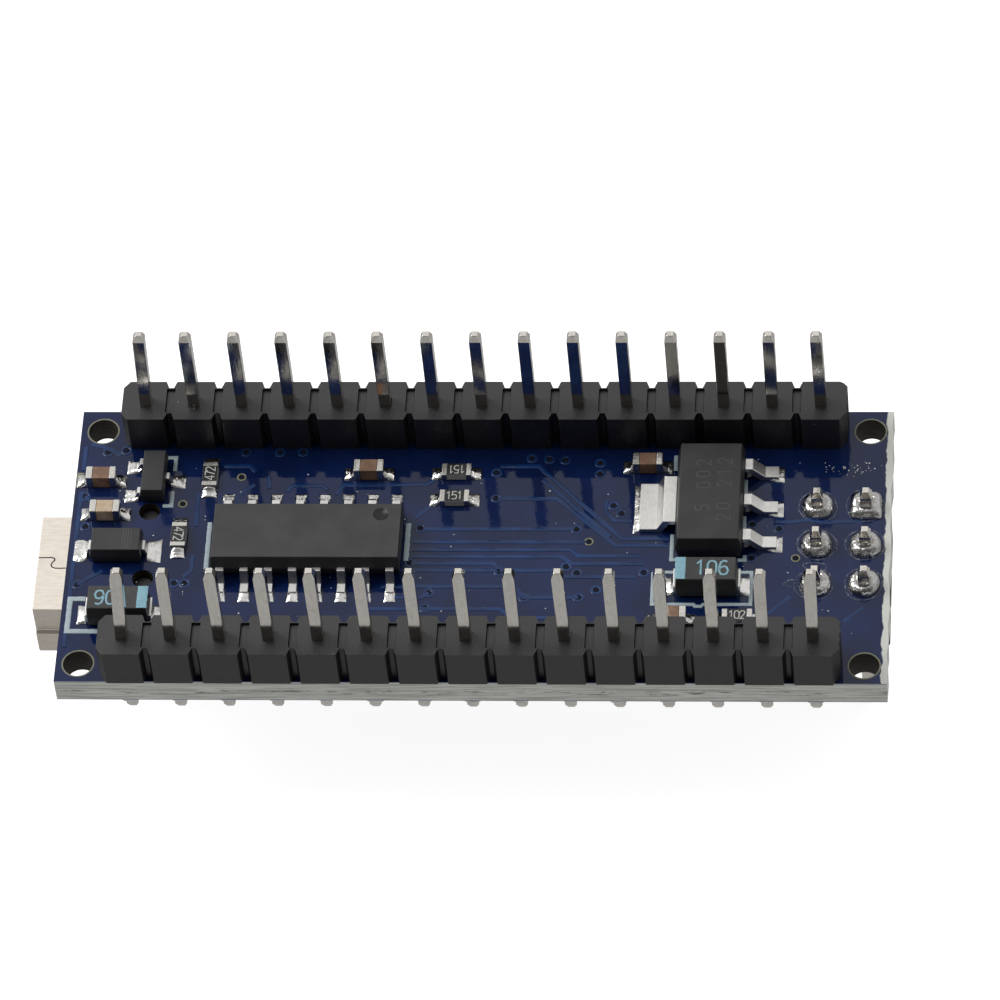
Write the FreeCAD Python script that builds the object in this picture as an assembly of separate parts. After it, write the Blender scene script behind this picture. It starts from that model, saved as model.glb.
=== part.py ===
"""Microcontroller development board with two soldered 15-pin header rows, lying with its pins up.

Frame, in millimetres: origin at the centre of the four mounting holes on the face that the header
strips stand on, +X towards the six-pin programming header, -X towards the USB socket, +Z out of that
face along the header pins. The microcontroller, the reset switch and the USB socket are on the -Z side.
"""

import FreeCAD
import Part
import math
import os

Vector = FreeCAD.Vector

# Driving dimensions
BOARD_LENGTH = 43.0
BOARD_WIDTH = 17.7
BOARD_THICKNESS = 1.6
BOARD_Y = 0.10
UNDER = -BOARD_THICKNESS
PITCH = 2.54
MOUNT_HOLE_X = 20.32
MOUNT_HOLE_Y = 7.62
MOUNT_HOLE_RADIUS = 0.78
SNAPPED_EDGE = [(0.00, 0.00), (0.04, 0.06), (-0.05, 0.10), (0.03, 0.15), (-0.02, 0.21), (0.05, 0.26),
                (0.01, 0.34), (-0.06, 0.39), (0.04, 0.45), (0.05, 0.52), (-0.04, 0.57), (0.02, 0.63),
                (-0.05, 0.70), (0.05, 0.75), (0.00, 0.83), (0.04, 0.89), (-0.04, 0.95), (0.02, 1.00)]

# Header rows
ROW_PINS = 15
ROW_Y = 7.62
STRIP_HEIGHT = 2.50
STRIP_WIDTH = 2.54
STRIP_Y = {"near": -7.60, "far": 7.74}
NOTCH_HALF = 0.28
NOTCH_TIP_HALF = 0.12
NOTCH_DEPTH = 0.42
TROUGH_WIDTH = 0.46
TROUGH_DEPTH = 0.28
TROUGH_WALL = 0.07
SLIT_WIDTH = 0.055
SLIT_DEPTH = 0.75
END_CHAMFER = 0.42
PIN_SIDE = 0.62
PIN_TOP = {"near": 8.05, "far": 8.25}
PIN_TAIL = -3.45
PIN_TAPER = 0.38
PIN_TIP_SIDE = 0.34
PIN_HOLE_RADIUS = 0.5
SOLDER_RADIUS = 0.86
SOLDER_HEIGHT = 1.15
SOLDER_TIP_RADIUS = 0.50
ROW_BENDS = {"near": {0: 0.30, 1: 0.10, 9: -0.06}, "far": {0: 0.18, 1: 0.05, 2: 0.05, 5: -0.04, 14: -0.08}}

# Programming header
PROGRAMMER_X = 18.92
PROGRAMMER_Y = 0.15
PROGRAMMER_TIP = 1.4
PROGRAMMER_SOLDER_HEIGHT = 0.85
PROGRAMMER_LENGTH = 11.5

# USB socket
USB_Y = 0.09
USB_FRONT = -23.35
USB_BACK = -14.1
USB_NARROW_HALF = 3.05
USB_WIDE_HALF = 3.25
USB_STEP = 1.75
USB_HEIGHT = 3.75
USB_WALL = 0.3
USB_CORNER = 0.6
USB_FLARE = 0.15
USB_TAB_PLACES = (-20.4, -15.6)
USB_TAB_LENGTH = 1.4
USB_TAB_REACH = 4.2
WINDOW_HALF = 2.1
WINDOW_LOW = UNDER - 2.0
TONGUE = (-22.3, -17.9)
TONGUE_LEVELS = (-3.95, -3.20)
PEG_X = -17.42
PEG_HALF_SPACING = 2.2
PEG_RADIUS = 0.46
PEG_HOLE_RADIUS = 0.56
PEG_TOP = -0.55
CONTACT_PITCH = 0.8
CONTACT_WIDTH = 0.4
CONTACT_THICKNESS = 0.15
CONTACT_FRONT = -22.0
CONTACT_TAIL = 0.35
CONTACT_FOOT = 1.05

# Surface parts: x, y and the turn of each one's long axis from +X in degrees
CERAMIC_PLACES = [(-20.09, 4.25, 0), (-19.70, 2.05, 0), (-5.95, 4.75, 0), (8.72, 5.20, 0), (10.30, -4.80, 0)]
RESISTOR_PLACES = [(-14.35, 4.50, 90), (-15.70, 0.50, -90), (-1.34, 4.78, 180), (-1.36, 3.05, 0),
                   (13.70, -4.68, 180)]
UNDER_CERAMIC_PLACES = [(-6.6, 5.1, 0), (-6.6, -5.1, 0), (7.6, 5.0, 0), (7.6, -5.0, 0), (-11.9, 0.0, 90)]
ARRAY_PLACES = [(-9.4, 3.9, 90), (-9.4, -3.9, 90)]
LED_PLACES = [(13.6, -3.3, 0), (13.6, -1.1, 0), (13.6, 1.1, 0), (13.6, 3.3, 0)]
RESONATOR_PLACE = (-9.2, 0.0, 90)
RESONATOR_BODY = (3.2, 1.3, 0.45, 0.9)
RESONATOR_PITCH = 1.2
CHIP_LENGTH = 1.6
CHIP_WIDTH = 0.8
CERAMIC_HEIGHT = 0.85
RESISTOR_HEIGHT = 0.45
CHIP_END = 0.36
ARRAY_LENGTH = 3.2
ARRAY_WIDTH = 1.6
ARRAY_PITCH = 0.8
LED_HEIGHT = 0.6

# Interface chip
INTERFACE_PLACE = (-8.85, -0.1)
INTERFACE_BODY = (9.9, 3.9)
INTERFACE_TOP = (9.78, 3.5)
INTERFACE_HEIGHT = 1.55
INTERFACE_DIMPLE = (3.85, 1.06, 0.38)
INTERFACE_SPAN = 3.0
INTERFACE_PITCH = 1.27
INTERFACE_LEADS_A_SIDE = 8

# Microcontroller, square, turned 45 degrees
CONTROLLER_PLACE = (0.5, 0.0)
CONTROLLER_BODY = 7.0
CONTROLLER_HEIGHT = 1.1
CONTROLLER_SPAN = 4.5
CONTROLLER_PITCH = 0.8
CONTROLLER_LEADS_A_SIDE = 8
CONTROLLER_TURN = 45

# Regulator
REGULATOR_PLACE = (12.1, 2.45)
REGULATOR_BODY = (3.5, 6.5)
REGULATOR_TOP = (3.18, 6.26)
REGULATOR_HEIGHT = 1.65
REGULATOR_REACH = 3.5
REGULATOR_TAB_REACH = 3.7
REGULATOR_TAB_WIDTH = 3.0
REGULATOR_LEAD_WIDTH = 0.72
REGULATOR_LEAD_THICKNESS = 0.28
REGULATOR_LEAD_ROOT = 0.80
REGULATOR_FOOT = 0.85
REGULATOR_TAB_FOOT = 1.05
REGULATOR_TAB_LEVEL = 0.6
REGULATOR_PITCH = 2.3

# Other leaded parts
TANTALUM_PLACES = {"right": (12.09, -2.56, 0), "left": (-18.40, -4.50, 180)}
TANTALUM_BODY = (3.2, 1.6)
TANTALUM_HEIGHT = 1.6
DIODE_PLACE = (-18.88, -0.33)
DIODE_BODY = (2.7, 1.6)
DIODE_HEIGHT = 1.1
DIODE_REACH = 1.85
TRANSISTOR_PLACE = (-17.28, 4.24)
TRANSISTOR_BODY = (1.3, 2.8)
TRANSISTOR_HEIGHT = 1.05
TRANSISTOR_REACH = 1.2

# Reset switch
SWITCH_X = 9.9
SWITCH_BASE = (2.8, 4.2)
SWITCH_BASE_HEIGHT = 1.25
SWITCH_CAVITY_RADIUS = 1.15
SWITCH_FLOOR = 0.35
COVER_THICKNESS = 0.15
PLUNGER_HOLE = (1.30, 2.00)
PLUNGER_CLEARANCE = 0.06
PLUNGER_PROUD = 0.55
PLUNGER_FLANGE = 0.25
PLUNGER_GAP = 0.03
TERMINAL_OFFSET = 0.95
TERMINAL_REACH = 0.5
TERMINAL_WIDTH = 0.6
TERMINAL_THICKNESS = 0.15


# Basic solids

def block(x0, x1, y0, y1, z0, z1):
    return Part.makeBox(x1 - x0, y1 - y0, z1 - z0, Vector(x0, y0, z0))


def slab(x, y, length, width, z0, z1):
    return block(x - length / 2, x + length / 2, y - width / 2, y + width / 2, z0, z1)


def rod(x, y, radius, z0, z1):
    return Part.makeCylinder(radius, z1 - z0, Vector(x, y, z0))


def cone(x, y, radius0, radius1, z0, z1):
    return Part.makeCone(radius0, radius1, z1 - z0, Vector(x, y, z0))


def outline(points):
    return Part.makePolygon(points + points[:1])


def prism(points, along):
    """A closed outline carried in a straight line."""
    return Part.Face(outline(points)).extrude(along)


def frustum(levels):
    """Rectangles (x, y, length, width, z) from the lowest to the highest, joined by flat sides."""
    wires = []
    for x, y, length, width, z in levels:
        left, right = x - length / 2, x + length / 2
        near, far = y - width / 2, y + width / 2
        wires.append(outline([Vector(left, near, z), Vector(right, near, z), Vector(right, far, z),
                              Vector(left, far, z)]))
    return Part.makeLoft(wires, True, True)


def stadium(x, y, width, length, z0, z1):
    """A slot-shaped column, round at its two ends along Y."""
    straight = (length - width) / 2
    middle = slab(x, y, width, 2 * straight, z0, z1)
    ends = [rod(x, y + side * straight, width / 2, z0, z1) for side in (-1, 1)]
    return middle.fuse(ends).removeSplitter()


def placed(solid, x, y, turn=0):
    """A copy turned about Z at the origin and then moved to (x, y)."""
    copy = solid.copy()
    copy.rotate(Vector(0, 0, 0), Vector(0, 0, 1), turn)
    copy.translate(Vector(x, y, 0))
    return copy


def turned_under(solid):
    """Turns a solid made on the +Z face over, about the X axis, onto the -Z face."""
    copy = solid.copy()
    copy.rotate(Vector(0, 0, 0), Vector(1, 0, 0), 180)
    copy.translate(Vector(0, 0, UNDER))
    return copy


def save(name, solids):
    shape = solids[0] if len(solids) == 1 else Part.makeCompound(solids)
    shape.exportStep("parts/" + name + ".step")


def save_under(name, solids):
    """Solids made on the +Z face, turned over onto the -Z face and written as one node."""
    save(name, [turned_under(solid) for solid in solids])


# Shared shapes of surface parts, made about the origin with their feet at z = 0

def gull_wing(start, reach, foot, root_z, thickness, width, level=0.3):
    """A lead from its body at y = start, level at first, then bent down to a flat foot that ends at reach."""
    low, high = root_z - thickness / 2, root_z + thickness / 2
    drop = reach - foot
    shoulder = start + level * (drop - start)
    half = thickness / 2
    profile = [(start, low), (start, high), (shoulder + half, high), (drop + half, thickness),
               (reach, thickness), (reach, 0), (drop - half, 0), (shoulder - half, low)]
    points = [Vector(-width / 2, y, z) for y, z in profile]
    return prism(points, Vector(width, 0, 0))


def fillet_wedge(reach, run, height, width):
    """Solder that slopes from the end face of a foot down to the pad, beyond y = reach."""
    left = -width / 2
    points = [Vector(left, reach, 0), Vector(left, reach, height), Vector(left, reach + run, 0)]
    return prism(points, Vector(width, 0, 0))


def two_rows(solid, count, pitch):
    """The solid in two facing rows along X, on the +Y and -Y sides."""
    offsets = [(index - (count - 1) / 2) * pitch for index in range(count)]
    return [placed(solid, offset, 0, turn) for turn in (0, 180) for offset in offsets]


def lead_rows(count, pitch, start, reach, foot, root_z, thickness, width):
    """Two facing rows of gull-wing leads, along X, on the +Y and -Y sides."""
    lead = gull_wing(start, reach, foot, root_z, thickness, width)
    return two_rows(lead, count, pitch)


def wedge_rows(count, pitch, reach, run, height, width):
    wedge = fillet_wedge(reach, run, height, width)
    return two_rows(wedge, count, pitch)


def moulded_body(length, width, top_length, top_width, standoff, parting, height):
    """A moulded body that widens to its parting line and narrows above it."""
    return frustum([(0, 0, top_length, top_width, standoff), (0, 0, length, width, parting),
                    (0, 0, top_length, top_width, height)])


def chip_body(length, width, height, end):
    return slab(0, 0, length - 2 * end, width - 0.02, 0.02, height - 0.02)


def chip_ends(length, width, height, end):
    """The two plated caps of a chip part, with softened outer edges."""
    right = slab(length / 2 - end / 2, 0, end, width, 0.0, height)
    outer = [edge for edge in right.Edges if edge.BoundBox.XMin > length / 2 - 0.01]
    right = right.makeFillet(0.07, outer)
    return [right, placed(right, 0, 0, 180)]


def chip_solder(length, width, height):
    """Two fillets that climb the end faces of a chip part."""
    wedge = fillet_wedge(length / 2, 0.4, 0.75 * height, width)
    return [placed(wedge, 0, 0, -90), placed(wedge, 0, 0, 90)]


def at_places(solids, places):
    return [placed(solid, *place) for place in places for solid in solids]


# Board

def row_pin_places():
    first = -(ROW_PINS - 1) / 2 * PITCH
    return [first + index * PITCH for index in range(ROW_PINS)]


def programmer_places():
    return [(PROGRAMMER_X + dx * PITCH / 2, PROGRAMMER_Y + dy * PITCH) for dy in (-1, 0, 1) for dx in (-1, 1)]


def peg_places():
    return [(PEG_X, USB_Y + side * PEG_HALF_SPACING) for side in (-1, 1)]


def make_board():
    low, high = BOARD_Y - BOARD_WIDTH / 2, BOARD_Y + BOARD_WIDTH / 2
    snapped = [Vector(BOARD_LENGTH / 2 + dx, low + along * BOARD_WIDTH, UNDER) for dx, along in SNAPPED_EDGE]
    corners = [Vector(-BOARD_LENGTH / 2, high, UNDER), Vector(-BOARD_LENGTH / 2, low, UNDER)]
    board = prism(snapped + corners, Vector(0, 0, BOARD_THICKNESS))
    holes = [rod(sx * MOUNT_HOLE_X, sy * MOUNT_HOLE_Y, MOUNT_HOLE_RADIUS, UNDER, 0)
             for sx in (-1, 1) for sy in (-1, 1)]
    holes += [rod(x, side * ROW_Y, PIN_HOLE_RADIUS, UNDER, 0) for x in row_pin_places() for side in (-1, 1)]
    holes += [rod(x, y, PIN_HOLE_RADIUS, UNDER, 0) for x, y in programmer_places()]
    holes += [rod(x, y, PEG_HOLE_RADIUS, UNDER, 0) for x, y in peg_places()]
    save("circuit_board", [board.cut(holes)])


# Header rows

def header_pin(x, y, tail_z, top_z, bend=0.0):
    """A square pin, tapered at both ends, whose free end may lean along X by bend."""
    body, tip = PIN_SIDE, PIN_TIP_SIDE
    levels = [(x, y, tip, tip, tail_z), (x, y, body, body, tail_z + PIN_TAPER)]
    if bend:
        levels.append((x, y, body, body, STRIP_HEIGHT))
    levels += [(x + bend, y, body, body, top_z - PIN_TAPER), (x + 1.1 * bend, y, tip, tip, top_z)]
    return frustum(levels)


def strip_outline(y):
    """One side of the row and back again: eight-sided cells with a notch between neighbours."""
    places = row_pin_places()
    half = PITCH / 2
    left, right = places[0] - half, places[-1] + half
    low, high = y - STRIP_WIDTH / 2, y + STRIP_WIDTH / 2
    near = [Vector(left, low + END_CHAMFER, 0), Vector(left + END_CHAMFER * 0.8, low, 0)]
    far = [Vector(left + END_CHAMFER * 0.8, high, 0), Vector(left, high - END_CHAMFER, 0)]
    for x in places[:-1]:
        seam = x + half
        near += [Vector(seam - NOTCH_HALF, low, 0), Vector(seam - NOTCH_TIP_HALF, low + NOTCH_DEPTH, 0),
                 Vector(seam + NOTCH_TIP_HALF, low + NOTCH_DEPTH, 0), Vector(seam + NOTCH_HALF, low, 0)]
        far = [Vector(seam + NOTCH_HALF, high, 0), Vector(seam + NOTCH_TIP_HALF, high - NOTCH_DEPTH, 0),
               Vector(seam - NOTCH_TIP_HALF, high - NOTCH_DEPTH, 0), Vector(seam - NOTCH_HALF, high, 0)] + far
    return near + snapped_end(right, low, high) + far


def snapped_end(right, low, high):
    """The end where the strip was snapped off: chamfers, and a torn web between them."""
    torn = [(-0.30, 0.0), (-0.02, 0.38), (0.10, 0.50), (0.03, 0.85), (0.12, 1.10), (0.02, 1.35), (0.14, 1.62),
            (0.06, 1.95), (0.10, 2.20), (-0.08, 2.42), (-0.30, high - low)]
    return [Vector(right + dx, low + dy, 0) for dx, dy in torn]


def seam_trough(x, y):
    """The sunken web between two cells, with a slit along each side of it."""
    length = STRIP_WIDTH - 2 * (NOTCH_DEPTH + TROUGH_WALL)
    trough = slab(x, y, TROUGH_WIDTH, length, STRIP_HEIGHT - TROUGH_DEPTH, STRIP_HEIGHT)
    slit_offset = (TROUGH_WIDTH - SLIT_WIDTH) / 2
    slits = [slab(x + side * slit_offset, y, SLIT_WIDTH, length, STRIP_HEIGHT - SLIT_DEPTH, STRIP_HEIGHT)
             for side in (-1, 1)]
    return trough.fuse(slits)


def make_strip(name, pins):
    y = STRIP_Y[name]
    strip = prism(strip_outline(y), Vector(0, 0, STRIP_HEIGHT))
    troughs = [seam_trough(x + PITCH / 2, y) for x in row_pin_places()[:-1]]
    row_y = ROW_Y if y > 0 else -ROW_Y
    sockets = [slab(x, row_y, PIN_SIDE, PIN_SIDE, 0, STRIP_HEIGHT) for x in row_pin_places()]
    save("header_strip_" + name, [strip.cut(troughs + sockets)])
    save("header_pins_" + name, pins)


def joint_solder(x, y, direction, height, pin):
    """Solder that fills a plated hole and climbs the pin on one face; direction is +1 above, -1 below."""
    fill = rod(x, y, PIN_HOLE_RADIUS, UNDER, 0)
    if direction > 0:
        mound = cone(x, y, SOLDER_RADIUS, SOLDER_TIP_RADIUS, 0, height)
    else:
        mound = cone(x, y, SOLDER_TIP_RADIUS, SOLDER_RADIUS, UNDER - height, UNDER)
    return fill.fuse(mound).cut(pin)


def make_header_rows():
    for name, y in (("near", -ROW_Y), ("far", ROW_Y)):
        bends = ROW_BENDS[name]
        pins = [header_pin(x, y, PIN_TAIL, PIN_TOP[name], bends.get(index, 0.0))
                for index, x in enumerate(row_pin_places())]
        make_strip(name, pins)
        save("header_solder_" + name, [joint_solder(x, y, -1, SOLDER_HEIGHT, pin)
                                       for x, pin in zip(row_pin_places(), pins)])


def make_programming_header():
    bottom = PROGRAMMER_TIP - PROGRAMMER_LENGTH
    pins = [header_pin(x, y, bottom, PROGRAMMER_TIP) for x, y in programmer_places()]
    housing = slab(PROGRAMMER_X, PROGRAMMER_Y, 2 * PITCH, 3 * PITCH, UNDER - STRIP_HEIGHT, UNDER)
    upright = [edge for edge in housing.Edges if edge.BoundBox.ZLength > STRIP_HEIGHT / 2]
    housing = housing.makeChamfer(END_CHAMFER, upright)
    notches = []
    for seam in (-0.5, 0.5):
        for side in (-1, 1):
            x, y = PROGRAMMER_X + side * PITCH, PROGRAMMER_Y + seam * PITCH
            corners = [Vector(x, y - NOTCH_HALF, UNDER), Vector(x - side * NOTCH_DEPTH, y, UNDER),
                       Vector(x, y + NOTCH_HALF, UNDER)]
            notches.append(prism(corners, Vector(0, 0, -STRIP_HEIGHT)))
    save("programming_header_block", [housing.cut(notches + pins)])
    save("programming_header_pins", pins)
    save("programming_header_solder", [joint_solder(x, y, 1, PROGRAMMER_SOLDER_HEIGHT, pin)
                                       for (x, y), pin in zip(programmer_places(), pins)])


# USB socket

def usb_profile(x, inset):
    """The socket's section: narrow at the board, wide away from it, with round outer corners."""
    narrow, wide = USB_NARROW_HALF - inset, USB_WIDE_HALF - inset
    top, low = UNDER - inset, UNDER - USB_HEIGHT + inset
    step, radius = UNDER - USB_STEP, USB_CORNER - inset
    lean = radius * (1 - math.sqrt(0.5))

    def at(y, z):
        return Vector(x, USB_Y + y, z)

    corner_right = Part.Arc(at(wide, low + radius), at(wide - lean, low + lean), at(wide - radius, low))
    corner_left = Part.Arc(at(radius - wide, low), at(lean - wide, low + lean), at(-wide, low + radius))
    right_side = [at(-narrow, top), at(narrow, top), at(narrow, step), at(wide, step - USB_FLARE),
                  at(wide, low + radius)]
    left_side = [at(-wide, low + radius), at(-wide, step - USB_FLARE), at(-narrow, step), at(-narrow, top)]
    floor = [at(wide - radius, low), at(radius - wide, low)]
    edges = [Part.LineSegment(*ends).toShape() for side in (right_side, floor, left_side)
             for ends in zip(side, side[1:])]
    edges += [corner_right.toShape(), corner_left.toShape()]
    return Part.Face(Part.Wire(Part.__sortEdges__(edges)))


def usb_contact(y):
    """A contact: blade under the tongue, run through the insulator, and a bent tail soldered to the board."""
    low = TONGUE_LEVELS[1]
    blade = low + CONTACT_THICKNESS
    tail, foot = USB_BACK + CONTACT_TAIL, USB_BACK + CONTACT_FOOT
    bend, sole = tail - CONTACT_THICKNESS, UNDER - CONTACT_THICKNESS
    points = [(CONTACT_FRONT, low), (CONTACT_FRONT, blade), (bend, blade), (bend, UNDER), (foot, UNDER),
              (foot, sole), (tail, sole), (tail, low)]
    side = y - CONTACT_WIDTH / 2
    return prism([Vector(x, side, z) for x, z in points], Vector(0, CONTACT_WIDTH, 0))


def usb_tabs():
    """Four tabs, in line with the board-side wall, that are soldered to the board."""
    tabs = []
    for x in USB_TAB_PLACES:
        for side in (-1, 1):
            low, high = sorted([USB_Y + side * USB_NARROW_HALF, USB_Y + side * USB_TAB_REACH])
            tabs.append(slab(x, (low + high) / 2, USB_TAB_LENGTH, high - low, UNDER - USB_WALL, UNDER))
    return tabs


def usb_joints(contact_places):
    """Solder beyond the contact tails and beyond the tabs."""
    tail_wedge = turned_under(placed(fillet_wedge(0, 0.35, 0.13, 0.45), 0, 0, -90))
    joints = [placed(tail_wedge, USB_BACK + CONTACT_FOOT, y) for y in contact_places]
    tab_wedge = turned_under(fillet_wedge(0, 0.5, 0.28, USB_TAB_LENGTH))
    joints += [placed(tab_wedge, x, USB_Y + side * USB_TAB_REACH, turn)
               for x in USB_TAB_PLACES for side, turn in ((-1, 0), (1, 180))]
    return joints


def make_usb_socket():
    length = USB_BACK - USB_FRONT
    inner_back = USB_BACK - USB_WALL
    outer = usb_profile(USB_FRONT, 0).extrude(Vector(length, 0, 0))
    hollow = usb_profile(USB_FRONT, USB_WALL).extrude(Vector(length - USB_WALL, 0, 0))
    window_low, window_high = USB_Y - WINDOW_HALF, USB_Y + WINDOW_HALF
    window = block(inner_back, USB_BACK, window_low, window_high, WINDOW_LOW, UNDER)
    pegs = [rod(x, y, PEG_RADIUS, UNDER - USB_WALL, PEG_TOP) for x, y in peg_places()]
    sleeve = outer.cut([hollow, window] + pegs)
    contact_places = [USB_Y + index * CONTACT_PITCH for index in range(-2, 3)]
    contacts = [usb_contact(y) for y in contact_places]
    core = usb_profile(TONGUE[1], USB_WALL).extrude(Vector(inner_back - TONGUE[1], 0, 0))
    tongue = block(*TONGUE, window_low, window_high, *TONGUE_LEVELS)
    plug = block(inner_back, USB_BACK, window_low, window_high, WINDOW_LOW, UNDER - 0.2)
    save("usb_housing", [sleeve.fuse(usb_tabs()).removeSplitter()])
    save("usb_insulator", [core.fuse([tongue, plug] + pegs).cut(contacts)])
    save("usb_contacts", contacts)
    save("usb_solder", usb_joints(contact_places))


# Integrated circuits and leaded parts on the pin side

def make_interface_chip():
    body = moulded_body(*INTERFACE_BODY, *INTERFACE_TOP, 0.12, 0.82, INTERFACE_HEIGHT)
    dimple = rod(*INTERFACE_DIMPLE, INTERFACE_HEIGHT - 0.08, INTERFACE_HEIGHT)
    rows = (INTERFACE_LEADS_A_SIDE, INTERFACE_PITCH)
    leads = lead_rows(*rows, INTERFACE_BODY[1] / 2, INTERFACE_SPAN, 0.62, 0.82, 0.2, 0.42)
    solder = wedge_rows(*rows, INTERFACE_SPAN, 0.45, 0.18, 0.6)
    x, y = INTERFACE_PLACE
    save("interface_chip_body", [placed(body.cut(dimple), x, y)])
    save("interface_chip_leads", [placed(lead, x, y) for lead in leads])
    save("interface_chip_solder", [placed(wedge, x, y) for wedge in solder])


def make_regulator():
    x, y = REGULATOR_PLACE
    half = REGULATOR_BODY[0] / 2
    body = moulded_body(*REGULATOR_BODY, *REGULATOR_TOP, 0.05, 0.85, REGULATOR_HEIGHT)
    root = (REGULATOR_LEAD_ROOT, REGULATOR_LEAD_THICKNESS)
    tab = gull_wing(half, REGULATOR_TAB_REACH, REGULATOR_TAB_FOOT, *root, REGULATOR_TAB_WIDTH,
                    REGULATOR_TAB_LEVEL)
    tab = placed(tab, 0, 0, 90)
    lead = placed(gull_wing(half, REGULATOR_REACH, REGULATOR_FOOT, *root, REGULATOR_LEAD_WIDTH), 0, 0, -90)
    rows = [index * REGULATOR_PITCH for index in (-1, 0, 1)]
    lead_wedge = placed(fillet_wedge(REGULATOR_REACH, 0.28, 0.22, REGULATOR_LEAD_WIDTH + 0.2), 0, 0, -90)
    tab_wedge = placed(fillet_wedge(REGULATOR_TAB_REACH, 0.30, 0.22, REGULATOR_TAB_WIDTH + 0.3), 0, 0, 90)
    save("regulator_body", [placed(body, x, y)])
    save("regulator_tab", [placed(tab, x, y)])
    save("regulator_leads", [placed(lead, x, y + row) for row in rows])
    save("regulator_solder", [placed(tab_wedge, x, y)] + [placed(lead_wedge, x, y + row) for row in rows])


def make_tantalum_capacitors():
    length, width = TANTALUM_BODY
    body = moulded_body(length, width, length - 0.14, width - 0.14, 0.1, 0.8, TANTALUM_HEIGHT)
    strip = [(length / 2, 0.62), (length / 2, 0.78), (length / 2 + 0.14, 0.78), (length / 2 + 0.14, 0),
             (length / 2 - 0.6, 0), (length / 2 - 0.6, 0.1), (length / 2 - 0.07, 0.1)]
    terminal = prism([Vector(dx, -0.6, z) for dx, z in strip], Vector(0, 1.2, 0)).cut(body)
    wedge = placed(fillet_wedge(length / 2 + 0.14, 0.36, 0.5, 1.2), 0, 0, -90)
    for name, place in TANTALUM_PLACES.items():
        save("tantalum_capacitor_" + name, [placed(body, *place)])
        save("tantalum_terminals_" + name, at_places([terminal, placed(terminal, 0, 0, 180)], [place]))
    return at_places([wedge, placed(wedge, 0, 0, 180)], TANTALUM_PLACES.values())


def make_diode():
    length, width = DIODE_BODY
    x, y = DIODE_PLACE
    body = moulded_body(length, width, length - 0.16, width - 0.16, 0.05, 0.55, DIODE_HEIGHT)
    lead = placed(gull_wing(length / 2, DIODE_REACH, 0.3, 0.5, 0.14, 0.6), 0, 0, -90)
    wedge = placed(fillet_wedge(DIODE_REACH, 0.35, 0.12, 1.1), 0, 0, -90)
    save("diode_body", [placed(body, x, y)])
    save("diode_leads", [placed(lead, x, y), placed(lead, x, y, 180)])
    return [placed(wedge, x, y), placed(wedge, x, y, 180)]


def make_transistor():
    length, width = TRANSISTOR_BODY
    x, y = TRANSISTOR_PLACE
    body = moulded_body(length, width, length - 0.16, width - 0.16, 0.05, 0.55, TRANSISTOR_HEIGHT)
    lead = placed(gull_wing(length / 2, TRANSISTOR_REACH, 0.25, 0.5, 0.13, 0.4), 0, 0, 90)
    wedge = placed(fillet_wedge(TRANSISTOR_REACH, 0.3, 0.12, 0.6), 0, 0, 90)
    spots = [(0, 0.95, 0), (0, -0.95, 0), (0, 0, 180)]
    save("transistor_body", [placed(body, x, y)])
    save("transistor_leads", [placed(placed(lead, *spot), x, y) for spot in spots])
    return [placed(placed(wedge, *spot), x, y) for spot in spots]


def make_pin_side_chips():
    ceramic = chip_body(CHIP_LENGTH, CHIP_WIDTH, CERAMIC_HEIGHT, CHIP_END)
    resistor = chip_body(CHIP_LENGTH, CHIP_WIDTH, RESISTOR_HEIGHT, CHIP_END - 0.06)
    for index, place in enumerate(CERAMIC_PLACES, 1):
        save("ceramic_capacitor_%d" % index, [placed(ceramic, *place)])
    for index, place in enumerate(RESISTOR_PLACES, 1):
        save("chip_resistor_%d" % index, [placed(resistor, *place)])
    ceramic_ends = chip_ends(CHIP_LENGTH, CHIP_WIDTH, CERAMIC_HEIGHT, CHIP_END)
    resistor_ends = chip_ends(CHIP_LENGTH, CHIP_WIDTH, RESISTOR_HEIGHT, CHIP_END - 0.06)
    save("capacitor_end_caps", at_places(ceramic_ends, CERAMIC_PLACES))
    save("resistor_end_caps", at_places(resistor_ends, RESISTOR_PLACES))
    return (at_places(chip_solder(CHIP_LENGTH, CHIP_WIDTH, CERAMIC_HEIGHT), CERAMIC_PLACES)
            + at_places(chip_solder(CHIP_LENGTH, CHIP_WIDTH, RESISTOR_HEIGHT), RESISTOR_PLACES))


# Parts on the -Z side

def make_microcontroller():
    half = CONTROLLER_BODY / 2
    top = CONTROLLER_BODY - 0.2
    body = moulded_body(CONTROLLER_BODY, CONTROLLER_BODY, top, top, 0.1, 0.55, CONTROLLER_HEIGHT)
    corners = [edge for edge in body.Edges if edge.BoundBox.ZLength > 0.4]
    body = body.makeChamfer(0.25, corners)
    dot = rod(-2.6, 2.6, 0.4, CONTROLLER_HEIGHT - 0.06, CONTROLLER_HEIGHT)
    rows = (CONTROLLER_LEADS_A_SIDE, CONTROLLER_PITCH)
    leads, solder = [], []
    row_leads = lead_rows(*rows, half, CONTROLLER_SPAN, 0.55, 0.55, 0.14, 0.35)
    row_solder = wedge_rows(*rows, CONTROLLER_SPAN, 0.35, 0.13, 0.4)
    for turn in (0, 90):
        leads += [placed(lead, 0, 0, turn) for lead in row_leads]
        solder += [placed(wedge, 0, 0, turn) for wedge in row_solder]
    place = (*CONTROLLER_PLACE, CONTROLLER_TURN)
    save_under("microcontroller_body", [placed(body.cut(dot), *place)])
    save_under("microcontroller_leads", at_places(leads, [place]))
    save_under("microcontroller_solder", at_places(solder, [place]))


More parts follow.
